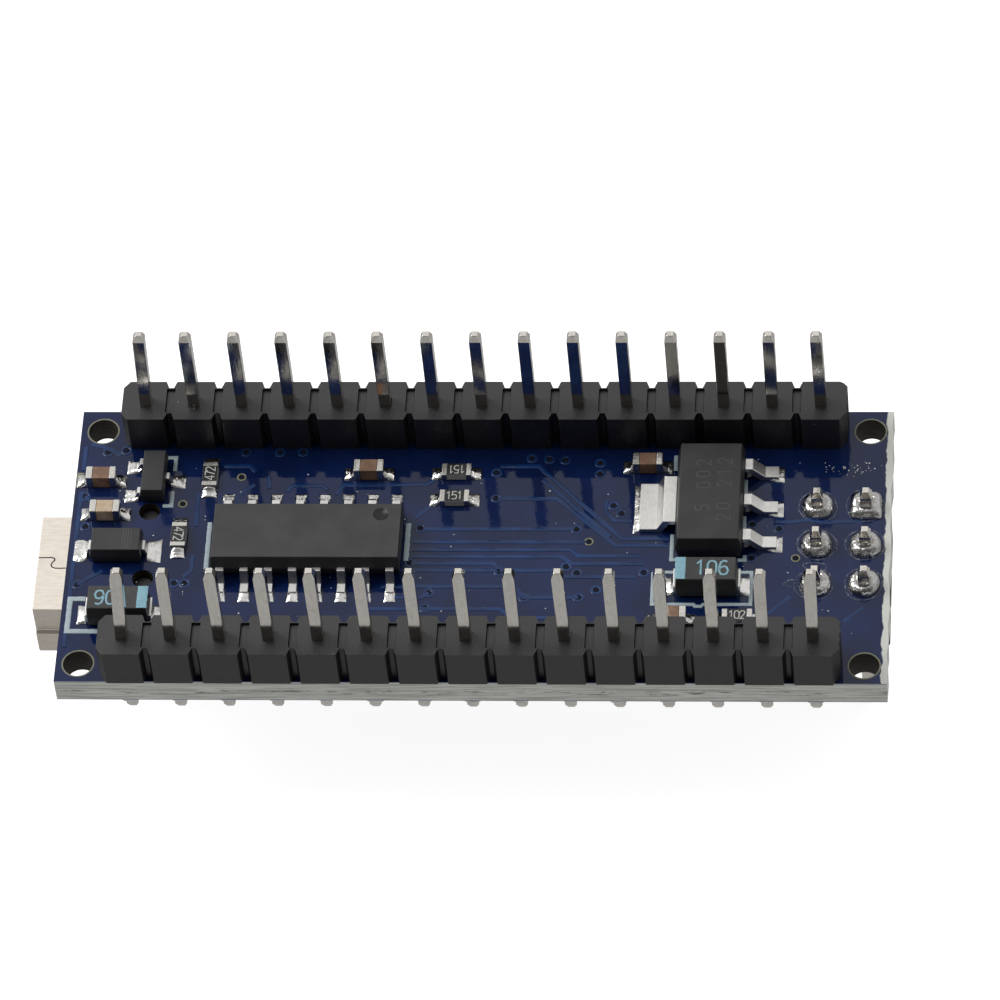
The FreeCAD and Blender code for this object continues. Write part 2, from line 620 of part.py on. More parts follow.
def make_resonator():
    length, width, base_height, height = RESONATOR_BODY
    base = slab(0, 0, length, width, 0, base_height)
    lid = slab(0, 0, length - 0.2, width - 0.2, base_height, height)
    top_edges = [edge for edge in lid.Edges if edge.BoundBox.ZMin > base_height]
    lid = lid.makeFillet(0.12, top_edges)
    save_under("resonator_base", [placed(base, *RESONATOR_PLACE)])
    save_under("resonator_lid", [placed(lid, *RESONATOR_PLACE)])
    wedge = fillet_wedge(width / 2, 0.3, 0.3, 0.45)
    wedges = [placed(wedge, dx, 0, turn) for dx in (-RESONATOR_PITCH, 0, RESONATOR_PITCH) for turn in (0, 180)]
    return at_places(wedges, [RESONATOR_PLACE])


def make_under_chips():
    ceramic = chip_body(CHIP_LENGTH, CHIP_WIDTH, CERAMIC_HEIGHT, CHIP_END)
    ends = chip_ends(CHIP_LENGTH, CHIP_WIDTH, CERAMIC_HEIGHT, CHIP_END)
    save_under("under_capacitor_bodies", at_places([ceramic], UNDER_CERAMIC_PLACES))
    save_under("under_capacitor_end_caps", at_places(ends, UNDER_CERAMIC_PLACES))
    core = slab(0, 0, ARRAY_LENGTH, ARRAY_WIDTH - 0.6, 0.02, 0.48)
    columns = [(index - 1.5) * ARRAY_PITCH for index in range(4)]
    cap = slab(0, ARRAY_WIDTH / 2 - 0.15, 0.5, 0.3, 0, 0.5)
    caps = [placed(cap, dx, 0, turn) for dx in columns for turn in (0, 180)]
    save_under("resistor_array_bodies", at_places([core], ARRAY_PLACES))
    save_under("resistor_array_end_caps", at_places(caps, ARRAY_PLACES))
    wedge = fillet_wedge(ARRAY_WIDTH / 2, 0.3, 0.3, 0.5)
    array_solder = [placed(wedge, dx, 0, turn) for dx in columns for turn in (0, 180)]
    return (at_places(chip_solder(CHIP_LENGTH, CHIP_WIDTH, CERAMIC_HEIGHT), UNDER_CERAMIC_PLACES)
            + at_places(array_solder, ARRAY_PLACES))


def make_indicators():
    base = slab(0, 0, CHIP_LENGTH, CHIP_WIDTH, 0, 0.28)
    lens = frustum([(0, 0, 1.0, CHIP_WIDTH, 0.28), (0, 0, 0.9, CHIP_WIDTH - 0.08, LED_HEIGHT)])
    save_under("indicator_led_bases", at_places([base], LED_PLACES))
    save_under("indicator_led_lenses", at_places([lens], LED_PLACES))
    return at_places(chip_solder(CHIP_LENGTH, CHIP_WIDTH, 0.3), LED_PLACES)


def make_reset_switch():
    """Base with a cup, snap dome, sheet cover with a slot, and the plunger that the cover holds in."""
    length, width = SWITCH_BASE
    cover_low = SWITCH_BASE_HEIGHT
    cover_high = cover_low + COVER_THICKNESS
    hole_width, hole_length = PLUNGER_HOLE
    base = slab(0, 0, length, width, 0, SWITCH_BASE_HEIGHT)
    base = base.cut(rod(0, 0, SWITCH_CAVITY_RADIUS, SWITCH_FLOOR, SWITCH_BASE_HEIGHT))
    cover = slab(0, 0, length, width, cover_low, cover_high)
    corners = [edge for edge in cover.Edges if edge.BoundBox.ZLength > 0.1]
    cover = cover.makeFillet(0.3, corners).cut(stadium(0, 0, hole_width, hole_length, cover_low, cover_high))
    stem = stadium(0, 0, hole_width - 2 * PLUNGER_CLEARANCE, hole_length - 2 * PLUNGER_CLEARANCE,
                   cover_low - PLUNGER_GAP, cover_high + PLUNGER_PROUD)
    crown = [edge for edge in stem.Edges if edge.BoundBox.ZMin > cover_high]
    stem = stem.makeFillet(0.12, crown)
    flange_high = cover_low - PLUNGER_GAP
    flange = rod(0, 0, SWITCH_CAVITY_RADIUS - PLUNGER_CLEARANCE, flange_high - PLUNGER_FLANGE, flange_high)
    dome_top = flange_high - PLUNGER_FLANGE
    rim = SWITCH_CAVITY_RADIUS - 2 * PLUNGER_CLEARANCE
    dome = cone(0, 0, rim, 0.35, SWITCH_FLOOR, dome_top).cut(cone(0, 0, rim - 0.12, 0.26, SWITCH_FLOOR,
                                                                dome_top - 0.1))
    columns = (-TERMINAL_OFFSET, TERMINAL_OFFSET)
    terminal = slab(0, (width + TERMINAL_REACH) / 2, TERMINAL_WIDTH, TERMINAL_REACH, 0, TERMINAL_THICKNESS)
    terminals = [placed(terminal, dx, 0, turn) for dx in columns for turn in (0, 180)]
    wedge = fillet_wedge(width / 2 + TERMINAL_REACH, 0.3, 0.14, TERMINAL_WIDTH + 0.1)
    wedges = [placed(wedge, dx, 0, turn) for dx in columns for turn in (0, 180)]
    pieces = {"reset_switch_base": [base], "reset_switch_cover": [cover], "reset_switch_dome": [dome],
              "reset_plunger": [stem.fuse(flange)], "reset_switch_terminals": terminals}
    for name, solids in pieces.items():
        save_under(name, at_places(solids, [(SWITCH_X, 0)]))
    return at_places(wedges, [(SWITCH_X, 0)])


def main():
    os.makedirs("parts", exist_ok=True)
    make_board()
    make_header_rows()
    make_programming_header()
    make_usb_socket()
    make_interface_chip()
    make_regulator()
    solder = make_tantalum_capacitors() + make_diode() + make_transistor() + make_pin_side_chips()
    save("pin_side_solder", solder)
    make_microcontroller()
    under_solder = make_resonator() + make_under_chips() + make_indicators() + make_reset_switch()
    save_under("under_side_solder", under_solder)


main()
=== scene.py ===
"""Looks for a narrow microcontroller board: finished surfaces, copper, solder, ink and studio."""
import math

import bmesh
import bpy
import numpy as np
from bpy.props import FloatProperty, FloatVectorProperty, PointerProperty
from bpy.types import Operator, Panel, PropertyGroup
from mathutils import Matrix, Vector


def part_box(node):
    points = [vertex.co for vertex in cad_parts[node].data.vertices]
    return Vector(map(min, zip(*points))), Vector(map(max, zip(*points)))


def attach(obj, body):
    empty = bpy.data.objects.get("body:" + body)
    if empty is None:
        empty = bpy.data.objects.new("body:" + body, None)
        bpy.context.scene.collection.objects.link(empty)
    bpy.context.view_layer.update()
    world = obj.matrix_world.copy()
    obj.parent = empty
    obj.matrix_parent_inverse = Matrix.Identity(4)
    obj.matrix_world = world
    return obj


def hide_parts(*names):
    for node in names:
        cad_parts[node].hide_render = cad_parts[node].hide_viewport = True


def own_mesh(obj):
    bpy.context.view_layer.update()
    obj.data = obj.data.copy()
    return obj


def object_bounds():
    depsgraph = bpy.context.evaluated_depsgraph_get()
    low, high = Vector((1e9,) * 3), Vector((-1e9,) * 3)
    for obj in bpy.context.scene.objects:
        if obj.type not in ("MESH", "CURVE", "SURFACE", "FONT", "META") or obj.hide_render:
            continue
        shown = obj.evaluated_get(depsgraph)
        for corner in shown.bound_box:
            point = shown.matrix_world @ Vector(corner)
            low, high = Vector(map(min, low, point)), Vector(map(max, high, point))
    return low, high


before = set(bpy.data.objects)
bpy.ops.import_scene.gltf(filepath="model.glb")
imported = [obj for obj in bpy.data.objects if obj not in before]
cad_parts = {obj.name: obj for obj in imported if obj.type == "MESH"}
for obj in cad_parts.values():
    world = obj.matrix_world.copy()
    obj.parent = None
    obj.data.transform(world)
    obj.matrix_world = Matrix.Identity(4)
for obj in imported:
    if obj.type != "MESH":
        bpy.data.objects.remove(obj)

bl_info = {
    "name": "Microcontroller board looks",
    "version": (1, 0, 0),
    "blender": (4, 5, 0),
    "location": "View3D > Sidebar > Board",
    "description": "Finishes the pieces of a small microcontroller board and sets its studio",
    "category": "Object",
}

CAD_BOX = [list(corner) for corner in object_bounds()]
MM = 0.001
BOARD = "board_assembly"
BUTTON = "reset_button"
BOARD_LOW, BOARD_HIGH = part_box("circuit_board")
UNDER = BOARD_LOW.z / MM
HALF_LENGTH = -BOARD_LOW.x / MM
HALF_WIDTH = (BOARD_HIGH.y - BOARD_LOW.y) / MM / 2
BOARD_MIDDLE_Y = (BOARD_HIGH.y + BOARD_LOW.y) / MM / 2
PITCH = 2.54
ROW_PINS = 15
ROW_PLACES = [(index - ROW_PINS // 2) * PITCH for index in range(ROW_PINS)]
ROW_Y = 7.62
MOUNT_X = 20.32
STRIP_Y = {"near": -7.60, "far": 7.74}
WEB_WIDTH = 0.41
WEB_LENGTH = 1.55
WEB_THICKNESS = 0.2
WEB_SUNK = 0.17
MOUNT_HOLES = [(sx * MOUNT_X, sy * ROW_Y) for sx in (-1, 1) for sy in (-1, 1)]
PROGRAMMER = (18.92, 0.15)
PROGRAMMER_PINS = [(PROGRAMMER[0] + dx * PITCH / 2, PROGRAMMER[1] + dy * PITCH)
                   for dy in (-1, 0, 1) for dx in (-1, 1)]
SQUARE_PAD = 5
TRACKED_PINS = 14
NUMBERED_PINS = 16


# ---------------------------------------------------------------- settings

class BoardSizes(PropertyGroup):
    trace_height: FloatProperty(
        name="Trace height", description="How far a track stands out under the mask, in mm", default=0.03,
        min=0.005, max=0.1)
    ink_height: FloatProperty(
        name="Ink height", description="Thickness of the printed ink, in mm", default=0.014, min=0.002,
        max=0.05)


class BoardColours(PropertyGroup):
    mask: FloatVectorProperty(
        name="Solder mask", description="Mask over bare laminate", subtype="COLOR",
        default=(0.0036, 0.0115, 0.058))
    mask_copper: FloatVectorProperty(
        name="Mask over copper", description="Mask over tracks", subtype="COLOR",
        default=(0.0060, 0.028, 0.104))
    laminate: FloatVectorProperty(
        name="Laminate", description="Cut edge of the board", subtype="COLOR", default=(0.68, 0.69, 0.64))
    moulding: FloatVectorProperty(
        name="Header moulding", description="Black header plastic", subtype="COLOR",
        default=(0.0085, 0.0078, 0.0085))
    ink: FloatVectorProperty(
        name="Printed ink", description="Pale outlines on the board", subtype="COLOR",
        default=(0.36, 0.44, 0.47))
    print_blue: FloatVectorProperty(
        name="Capacitor print", description="Band and digits on the moulded capacitors", subtype="COLOR",
        default=(0.20, 0.38, 0.46))
    tin: FloatVectorProperty(
        name="Tin plating", description="Plated pins and leads", subtype="COLOR", default=(0.74, 0.71, 0.655))


class StudioSettings(PropertyGroup):
    tent: FloatProperty(
        name="Tent", description="Brightness of the tent overhead", default=0.88, min=0.0)
    front: FloatProperty(
        name="Front", description="Brightness of the tent's open front", default=0.10, min=0.0)
    below: FloatProperty(
        name="Below", description="Brightness of what lies lower than the table", default=0.43, min=0.0)
    horizon: FloatProperty(
        name="Horizon", description="Brightness of the band above the floor", default=0.92, min=0.0)
    floor_glow: FloatProperty(
        name="Floor glow", description="Light given off by the table", default=0.86, min=0.0)
    key: FloatProperty(
        name="Top light", description="Power of the soft overhead light", default=1.35, min=0.0,
        subtype="POWER", unit="POWER")
    lens: FloatProperty(
        name="Lens", description="Focal length of the camera", default=258.45, min=20.0, unit="CAMERA")


def sizes():
    return bpy.context.scene.board_sizes


def colours():
    return bpy.context.scene.board_colours


# ---------------------------------------------------------------- shader maths

def arithmetic(operation, reflected=False):
    """The method behind one operator: a Math node, whose first value is the other one when reflected."""
    def method(self, *others):
        values = others + (self,) if reflected else (self,) + others
        return self.graph.node("ShaderNodeMath", {"operation": operation}, dict(enumerate(values)))
    return method


class Signal:
    """A socket of a node tree, with the arithmetic that a formula needs."""

    def __init__(self, graph, socket):
        self.graph = graph
        self.socket = socket

    __add__ = __radd__ = arithmetic("ADD")
    __mul__ = __rmul__ = arithmetic("MULTIPLY")
    __sub__ = arithmetic("SUBTRACT")
    __rsub__ = arithmetic("SUBTRACT", reflected=True)
    __abs__ = arithmetic("ABSOLUTE")
    over = arithmetic("GREATER_THAN")
    larger = arithmetic("MAXIMUM")

    def ramp(self, low, high, first=0.0, last=1.0):
        """A smooth step from first, where the value is below low, to last, where it is above high."""
        inputs = {"Value": self, "From Min": low, "From Max": high, "To Min": first, "To Max": last}
        return self.graph.node("ShaderNodeMapRange", {"interpolation_type": "SMOOTHSTEP"}, inputs)


class Graph:
    """A new material or world, and one method that makes every node but its own shader."""

    def __init__(self, name, kind="materials"):
        self.block = getattr(bpy.data, kind).new(name)
        self.block.use_nodes = True
        self.tree = self.block.node_tree
        self.shader = self.tree.nodes.get("Principled BSDF")

    def node(self, kind, settings=None, inputs=None, output=0):
        made = self.tree.nodes.new(kind)
        for key, value in (settings or {}).items():
            setattr(made, key, value)
        for key, value in (inputs or {}).items():
            self.feed(made.inputs[key], value)
        return Signal(self, made.outputs[output])

    def feed(self, socket, value):
        if isinstance(value, Signal):
            self.tree.links.new(value.socket, socket)
        elif hasattr(value, "__len__") and socket.type == "RGBA" and len(value) == 3:
            socket.default_value = (*value, 1.0)
        else:
            socket.default_value = value

    def place(self, stretch=(1.0, 1.0, 1.0)):
        """Object coordinates in millimetres, stretched along the axes."""
        coordinates = self.node("ShaderNodeTexCoord", output="Object")
        scale = tuple(value / MM for value in stretch)
        return self.node("ShaderNodeVectorMath", {"operation": "MULTIPLY"}, {0: coordinates, 1: scale})

    def axis(self, letter):
        return self.node("ShaderNodeSeparateXYZ", inputs={0: self.place()}, output="XYZ".index(letter))

    def facing(self, letter):
        """The normal's part along one axis."""
        normal = self.node("ShaderNodeNewGeometry", output="Normal")
        return self.node("ShaderNodeSeparateXYZ", inputs={0: normal}, output="XYZ".index(letter))

    def noise(self, per_mm, detail=3.0, rough=0.5, stretch=(1.0, 1.0, 1.0)):
        inputs = {"Vector": self.place(stretch), "Scale": per_mm, "Detail": detail, "Roughness": rough}
        return self.node("ShaderNodeTexNoise", inputs=inputs)

    def blend(self, factor, first, second):
        return self.node("ShaderNodeMix", {"data_type": "RGBA"}, {0: factor, 6: first, 7: second}, output=2)

    def bump(self, height, distance_mm, strength=1.0):
        inputs = {"Height": height, "Distance": distance_mm * MM, "Strength": strength}
        return self.node("ShaderNodeBump", inputs=inputs)

    def finish(self, base, rough, bump=None, metal=0.0, **constants):
        self.feed(self.shader.inputs["Base Color"], base)
        self.feed(self.shader.inputs["Roughness"], rough)
        self.feed(self.shader.inputs["Metallic"], metal)
        if bump is not None:
            self.feed(self.shader.inputs["Normal"], bump)
        for name, value in constants.items():
            self.shader.inputs[name.replace("_", " ")].default_value = value
        return self.block


def shade(colour, factor):
    return tuple(part * factor for part in colour)


# ---------------------------------------------------------------- finishes

def solder_mask_board():
    """Glossy mask on the two faces, fibrous laminate on the cut edges, and near-black painted shade on the
    walls of the holes.
    """
    graph = Graph("solder_mask_board")
    tint = colours()
    flat = abs(graph.facing("Z")).ramp(0.45, 0.6)
    clouds = graph.noise(0.35, 3.0)
    mottle = graph.noise(3.0, 2.0)
    mask = graph.blend(clouds.ramp(0.35, 0.7), shade(tint.mask, 0.82), shade(tint.mask, 1.22))
    mask = graph.blend(mottle.ramp(0.55, 0.8) * 0.25, mask, shade(tint.mask_copper, 0.8))
    fibres = graph.noise(1.1, 4.0, 0.65, (0.35, 0.35, 9.0))
    threads = graph.noise(0.9, 3.0, 0.7, (0.9, 0.9, 6.0))
    laminate = graph.blend(fibres.ramp(0.35, 0.65), shade(tint.laminate, 0.72), shade(tint.laminate, 1.2))
    core = 1 - abs(graph.axis("Z") - UNDER * 0.55).ramp(0.1, 0.35)
    # The two browns after loose_thread are painted shade for the walls of the holes, far darker than the same
    # laminate at the outer edge.
    loose_thread, resin, hole_shade_pale = (0.11, 0.11, 0.09), (0.016, 0.012, 0.008), (0.06, 0.048, 0.034)
    laminate = graph.blend(threads.ramp(0.56, 0.64) * core * 0.8, laminate, loose_thread)
    ragged = graph.axis("X") + graph.noise(0.9, 4.0, 0.6) * 0.5
    end = BOARD_HIGH.x / MM
    snapped = ragged.ramp(end - 0.14, end - 0.07)
    mask = graph.blend(snapped, mask, shade(tint.laminate, 0.85))
    beyond_x = abs(graph.axis("X")) - (HALF_LENGTH - 0.2)
    beyond_y = abs(graph.axis("Y") - BOARD_MIDDLE_Y) - (HALF_WIDTH - 0.1)
    outer = beyond_x.larger(beyond_y).over(0.0)
    # Painted shade: where the cut is not the outer edge, the walls of the holes get near-black browns in place
    # of laminate.
    shaded_hole_wall = graph.blend(fibres.ramp(0.4, 0.7), resin, hole_shade_pale)
    cut = graph.blend(outer, shaded_hole_wall, laminate)
    skin = (abs(graph.axis("Z") - UNDER / 2) - (-UNDER / 2 - 0.06)).over(0.0)
    cut = graph.blend(skin * outer * 0.6, cut, shade(tint.mask, 4.0))
    base = graph.blend(flat, cut, mask)
    peel = graph.noise(2.4, 2.0)
    weave = graph.noise(1.6, 3.0, 0.6, (1.0, 0.25, 1.0))
    height = (peel * 0.6 + weave * 0.4) * flat + (fibres + threads) * 4.0 * (1 - flat)
    smears = graph.noise(0.5, 4.0, 0.6, (1.0, 1.6, 1.0)).ramp(0.45, 0.75)
    gloss = flat * (1 - snapped)
    rough = (0.05 + smears * 0.06) * gloss + 0.62 * (1 - gloss)
    return graph.finish(base, rough, graph.bump(height, 0.006), Specular_IOR_Level=0.40)


def mask_over_copper():
    """The same mask where copper under it makes it paler and bluer."""
    graph = Graph("mask_over_copper")
    tint = colours()
    clouds = graph.noise(0.6, 3.0)
    base = graph.blend(clouds.ramp(0.35, 0.7), shade(tint.mask_copper, 0.8), shade(tint.mask_copper, 1.3))
    return graph.finish(base, 0.08 + clouds * 0.1, graph.bump(graph.noise(3.0, 2.0), 0.006),
                        Specular_IOR_Level=0.40)


DUST_GREY = (0.30, 0.30, 0.30)


def moulded(name, colour, rough=0.5, grain=0.006, specks=0.5, shine=0.5):
    """Moulded plastic or epoxy with a fine grain and a scatter of pale dust."""
    graph = Graph(name)
    fine = graph.noise(14.0, 2.0, 0.6)
    broad = graph.noise(0.7, 3.0)
    base = graph.blend(broad.ramp(0.3, 0.7), shade(colour, 0.8), shade(colour, 1.25))
    base = graph.blend(fine.ramp(0.45, 0.75) * 0.35, base, shade(colour, 1.9))
    dust = graph.noise(4.5, 1.0, 0.4).ramp(0.80, 0.84)
    base = graph.blend(dust * specks, base, DUST_GREY)
    return graph.finish(base, rough - 0.1 + fine * 0.2, graph.bump(fine + broad, grain),
                        Specular_IOR_Level=shine)


def plated(name, colour, rough=0.22, stain=0.5, grain=0.004, along=(1.0, 1.0, 0.25)):
    """Tin plating, drawn along the piece, with dull stains."""
    graph = Graph(name)
    streaks = graph.noise(7.0, 3.0, 0.6, along)
    stains = graph.noise(1.3, 4.0, 0.65).ramp(0.5, 0.72)
    base = graph.blend(streaks.ramp(0.35, 0.7), shade(colour, 0.94), shade(colour, 1.04))
    base = graph.blend(stains * stain, base, shade(colour, 0.5))
    lift = rough + 0.16 * stain * stains + 0.05 * streaks
    return graph.finish(base, lift, graph.bump(streaks, grain), metal=1.0)


def solder_metal(name="solder_metal", dull=0.0):
    """Bright solder, with a frosted grain and a brown tarnish of old flux in its hollows."""
    graph = Graph(name)
    ripple = graph.noise(2.6, 3.0, 0.6)
    grain = graph.noise(9.0, 3.0, 0.7)
    frost = graph.noise(2.0, 4.0, 0.6).ramp(0.45, 0.7)
    bright, frosted, pitted = (0.72, 0.71, 0.69), (0.46, 0.455, 0.44), (0.16, 0.15, 0.14)
    browned, dulled = (0.20, 0.155, 0.10), (0.20, 0.20, 0.21)
    base = graph.blend(frost, bright, frosted)
    base = graph.blend(grain.ramp(0.55 - 0.15 * dull, 0.75) * 0.6, base, pitted)
    tarnish = graph.noise(1.1, 3.0, 0.6).ramp(0.58, 0.8)
    base = graph.blend(tarnish * 0.45, base, browned)
    base = graph.blend(dull * 0.45, base, dulled)
    height = ripple + grain * 0.35 * frost
    return graph.finish(base, 0.10 + frost * 0.22, graph.bump(height, 0.035 + 0.03 * dull), metal=1.0)


def ceramic(name, top, side):
    """Fired ceramic: a dry face with fine pores and a few pale chips."""
    graph = Graph(name)
    pores = graph.noise(9.0, 3.0, 0.6)
    patches = graph.noise(2.0, 3.0)
    base = graph.blend(patches.ramp(0.35, 0.7), side, top)
    base = graph.blend(pores.ramp(0.6, 0.75) * 0.4, base, shade(top, 1.6))
    return graph.finish(base, 0.42 + pores * 0.2, graph.bump(pores, 0.006))


def resistor_glaze(side=1):
    """Black glass on the face away from the board, bare alumina on the sides."""
    graph = Graph("resistor_glaze_up" if side > 0 else "resistor_glaze_down")
    face = (graph.facing("Z") * side).ramp(0.5, 0.7)
    pores = graph.noise(10.0, 2.0)
    alumina = graph.blend(pores, (0.36, 0.36, 0.34), (0.58, 0.58, 0.55))
    glass = graph.blend(pores.ramp(0.5, 0.8), (0.010, 0.010, 0.012), (0.035, 0.035, 0.038))
    return graph.finish(graph.blend(face, alumina, glass), 0.6 - 0.35 * face, graph.bump(pores, 0.004))


def printed(name, colour, wear=0.3):
    """Ink with worn, dusty patches."""
    graph = Graph(name)
    worn = graph.noise(4.0, 4.0, 0.7).ramp(0.42, 0.72)
    base = graph.blend(worn * wear, colour, shade(colour, 0.55))
    return graph.finish(base, 0.45 + worn * 0.25, graph.bump(graph.noise(12.0, 2.0), 0.004))


def flux_film():
    """Clear, pale flux that dried in rings and wisps."""
    graph = Graph("flux_film")
    wisps = graph.noise(2.6, 5.0, 0.7)
    base = graph.blend(wisps, (0.24, 0.28, 0.38), (0.55, 0.60, 0.68))
    graph.feed(graph.shader.inputs["Alpha"], 0.08 + 0.5 * wisps.ramp(0.42, 0.75))
    return graph.finish(base, 0.2 + 0.3 * wisps, graph.bump(wisps, 0.02))


def clear_resin():
    """Cast lens resin over a small die."""
    graph = Graph("clear_resin")
    haze = graph.noise(3.0, 2.0)
    base = graph.blend(haze, (0.80, 0.78, 0.66), (0.93, 0.91, 0.82))
    return graph.finish(base, 0.12 + haze * 0.1, graph.bump(haze, 0.004), Transmission_Weight=0.35, IOR=1.5)


def mottled(name, dark, pale, per_mm, detail, roughness, grain, shine=0.5):
    """A dry surface that wanders between two colours."""
    graph = Graph(name)
    cloud = graph.noise(per_mm, detail, roughness)
    return graph.finish(graph.blend(cloud, dark, pale), 0.5 + cloud * 0.2, graph.bump(cloud, grain),
                        Specular_IOR_Level=shine)


def pale_floor():
    """A white light table: matt, and softly lit from within."""
    graph = Graph("pale_floor")
    cloud = graph.noise(0.01, 2.0)
    glow = bpy.context.scene.board_studio.floor_glow
    base = graph.blend(cloud, (0.48, 0.48, 0.48), (0.50, 0.50, 0.50))
    return graph.finish(base, 0.75 + cloud * 0.1, Emission_Color=(1.0, 1.0, 1.0, 1.0), Emission_Strength=glow)


FINISHES = {}


def finish(name):
    """Each finish is made once, the first time that it is asked for."""
    if name not in FINISHES:
        FINISHES[name] = RECIPES[name]()
    return FINISHES[name]


RECIPES = {
    "board": solder_mask_board,
    "copper": mask_over_copper,
    "header": lambda: moulded("header_moulding", colours().moulding, 0.42, 0.016, 0.6, 0.64),
    "epoxy": lambda: moulded("chip_epoxy", (0.027, 0.0255, 0.0255), 0.55, 0.006, 0.25),
    "epoxy_dark": lambda: moulded("small_part_epoxy", (0.018, 0.017, 0.0175), 0.50, 0.010, 0.25),
    "dimple": lambda: moulded("polished_dimple", (0.012, 0.011, 0.011), 0.28, 0.002, 0.1, 0.3),
    "tantalum": lambda: moulded("tantalum_epoxy", (0.026, 0.025, 0.024), 0.5, 0.009, 0.2),
    "switch": lambda: moulded("switch_moulding", (0.02, 0.02, 0.021), 0.5, 0.008, 0.1),
    "button": lambda: moulded("button_moulding", (0.62, 0.60, 0.54), 0.42, 0.006, 0.0),
    "socket_core": lambda: moulded("socket_core_moulding", (0.02, 0.02, 0.02), 0.5, 0.006, 0.1),
    "pins": lambda: plated("pin_tin", colours().tin, 0.09, 0.22, 0.003),
    "leads": lambda: plated("lead_tin", (0.76, 0.75, 0.725), 0.30, 0.20, 0.006, (1.0, 0.6, 1.0)),
    "caps": lambda: plated("end_cap_tin", (0.66, 0.64, 0.60), 0.20, 0.4, 0.012, (1.0, 1.0, 1.0)),
    "socket": lambda: plated("socket_nickel", (0.74, 0.68, 0.60), 0.34, 0.12, 0.003, (0.2, 1.0, 1.0)),
    "cover": lambda: plated("pressed_cover", (0.66, 0.66, 0.66), 0.28, 0.15, 0.003, (0.2, 1.0, 1.0)),
    "gold": lambda: plated("contact_gold", (0.80, 0.56, 0.22), 0.22, 0.2),
    "solder": solder_metal,
    "solder_dull": lambda: solder_metal("solder_dull", 1.0),
    "capacitor": lambda: ceramic("capacitor_brown", (0.235, 0.135, 0.085), (0.16, 0.085, 0.048)),
    "capacitor_pale": lambda: ceramic("capacitor_ivory", (0.55, 0.44, 0.33), (0.42, 0.30, 0.19)),
    "resonator": lambda: ceramic("resonator_ceramic", (0.60, 0.58, 0.50), (0.50, 0.47, 0.40)),
    "led_base": lambda: ceramic("led_laminate", (0.70, 0.69, 0.64), (0.62, 0.60, 0.55)),
    "glaze_up": lambda: resistor_glaze(1),
    "glaze_down": lambda: resistor_glaze(-1),
    "ink": lambda: printed("pale_ink", colours().ink),
    "digits": lambda: printed("digit_ink", (0.50, 0.50, 0.47), 0.2),
    "print_blue": lambda: printed("capacitor_print", colours().print_blue, 0.35),
    "etched": lambda: printed("laser_etch", (0.050, 0.049, 0.047), 0.6),
    "flux": flux_film,
    "lens": clear_resin,
    "bare": lambda: mottled("bare_laminate", (0.12, 0.125, 0.085), (0.26, 0.26, 0.17), 4.0, 4.0, 0.6, 0.006),
    # Painted shade: a near-black navy for the thin discs over the via holes and for the line of the socket's
    # seam.
    "gap_shade": lambda: mottled("painted_gap_shade", (0.002, 0.003, 0.008), (0.008, 0.010, 0.022), 6.0, 3.0, 0.5, 0.004,
                            0.12),
    "dust": lambda: printed("dust", (0.62, 0.63, 0.62), 0.2),
    "floor": pale_floor,
}


# ---------------------------------------------------------------- surfaces

def ring_solid(rings):
    """Closed rings (n, m, 3) joined by quads along n and closed by a flat face at each end."""
    count, around = rings.shape[:2]
    index = np.arange(count * around).reshape(count, around)
    here, after = index, np.roll(index, -1, axis=1)
    quads = np.stack([here[:-1], after[:-1], after[1:], here[1:]], axis=-1).reshape(-1, 4)
    return rings.reshape(-1, 3), quads.tolist() + [index[0][::-1].tolist(), index[-1].tolist()]


def slab_solid(top, floor_z):
    """A height field (n, m, 3) closed by vertical sides and a flat bottom at floor_z."""
    n, m = top.shape[:2]
    bottom = top.copy()
    bottom[..., 2] = floor_z
    index = np.arange(n * m).reshape(n, m)
    cells = np.stack([index[:-1, :-1], index[1:, :-1], index[1:, 1:], index[:-1, 1:]], axis=-1).reshape(-1, 4)
    rim = np.concatenate([index[:, 0], index[-1, 1:], index[-2::-1, -1], index[0, -2:0:-1]])
    sides = np.stack([rim, np.roll(rim, -1), np.roll(rim, -1) + n * m, rim + n * m], axis=-1)
    faces = cells.tolist() + (cells[:, ::-1] + n * m).tolist() + sides.tolist()
    return np.concatenate([top.reshape(-1, 3), bottom.reshape(-1, 3)]), faces


def joined(solids):
    points, faces, offset = [], [], 0
    for vertices, polygons in solids:
        points.append(vertices)
        faces += [[corner + offset for corner in polygon] for polygon in polygons]
        offset += len(vertices)
    return np.concatenate(points), faces


def piece(name, solids, finish_name, slot, body=BOARD, replaces=(), sharp=35.0):
    """A mesh object at the origin, from solids in millimetres, outward and riding its body."""
    points, faces = joined(solids)
    mesh = bpy.data.meshes.new(name)
    mesh.from_pydata((points * MM).tolist(), [], faces)
    turned = bmesh.new()
    turned.from_mesh(mesh)
    bmesh.ops.recalc_face_normals(turned, faces=turned.faces)
    turned.to_mesh(mesh)
    turned.free()
    mesh.polygons.foreach_set("use_smooth", np.ones(len(mesh.polygons), bool))
    mesh.set_sharp_from_angle(angle=math.radians(sharp))
    return settle(bpy.data.objects.new(name, mesh), finish_name, body, replaces)


def on_board(name, solids, finish_name, **options):
    """A thin layer that lies on the board."""
    return piece(name, solids, finish_name, "board_laminate", **options)


def soldered(name, solids, node, finish_name="solder"):
    """Solder that takes the place of the CAD's own."""
    return piece(name, solids, finish_name, "solder", replaces=(node,))


def settle(made, finish_name, body, replaces=()):
    bpy.context.scene.collection.objects.link(made)
    made.data.materials.clear()
    made.data.materials.append(finish(finish_name))
    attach(made, body)
    if replaces:
        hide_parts(*replaces)
    return made


def wobble(angle, seed, size, waves=4):
    """A sum of a few sines of an angle, with seeded phases: an uneven but closed ripple."""
    draw = np.random.default_rng(seed)
    total = np.zeros_like(angle)
    for wave in range(1, waves + 1):
        total += np.sin(wave * angle + draw.uniform(0, 2 * math.pi)) * draw.uniform(0.4, 1.0) / wave
    return total * size


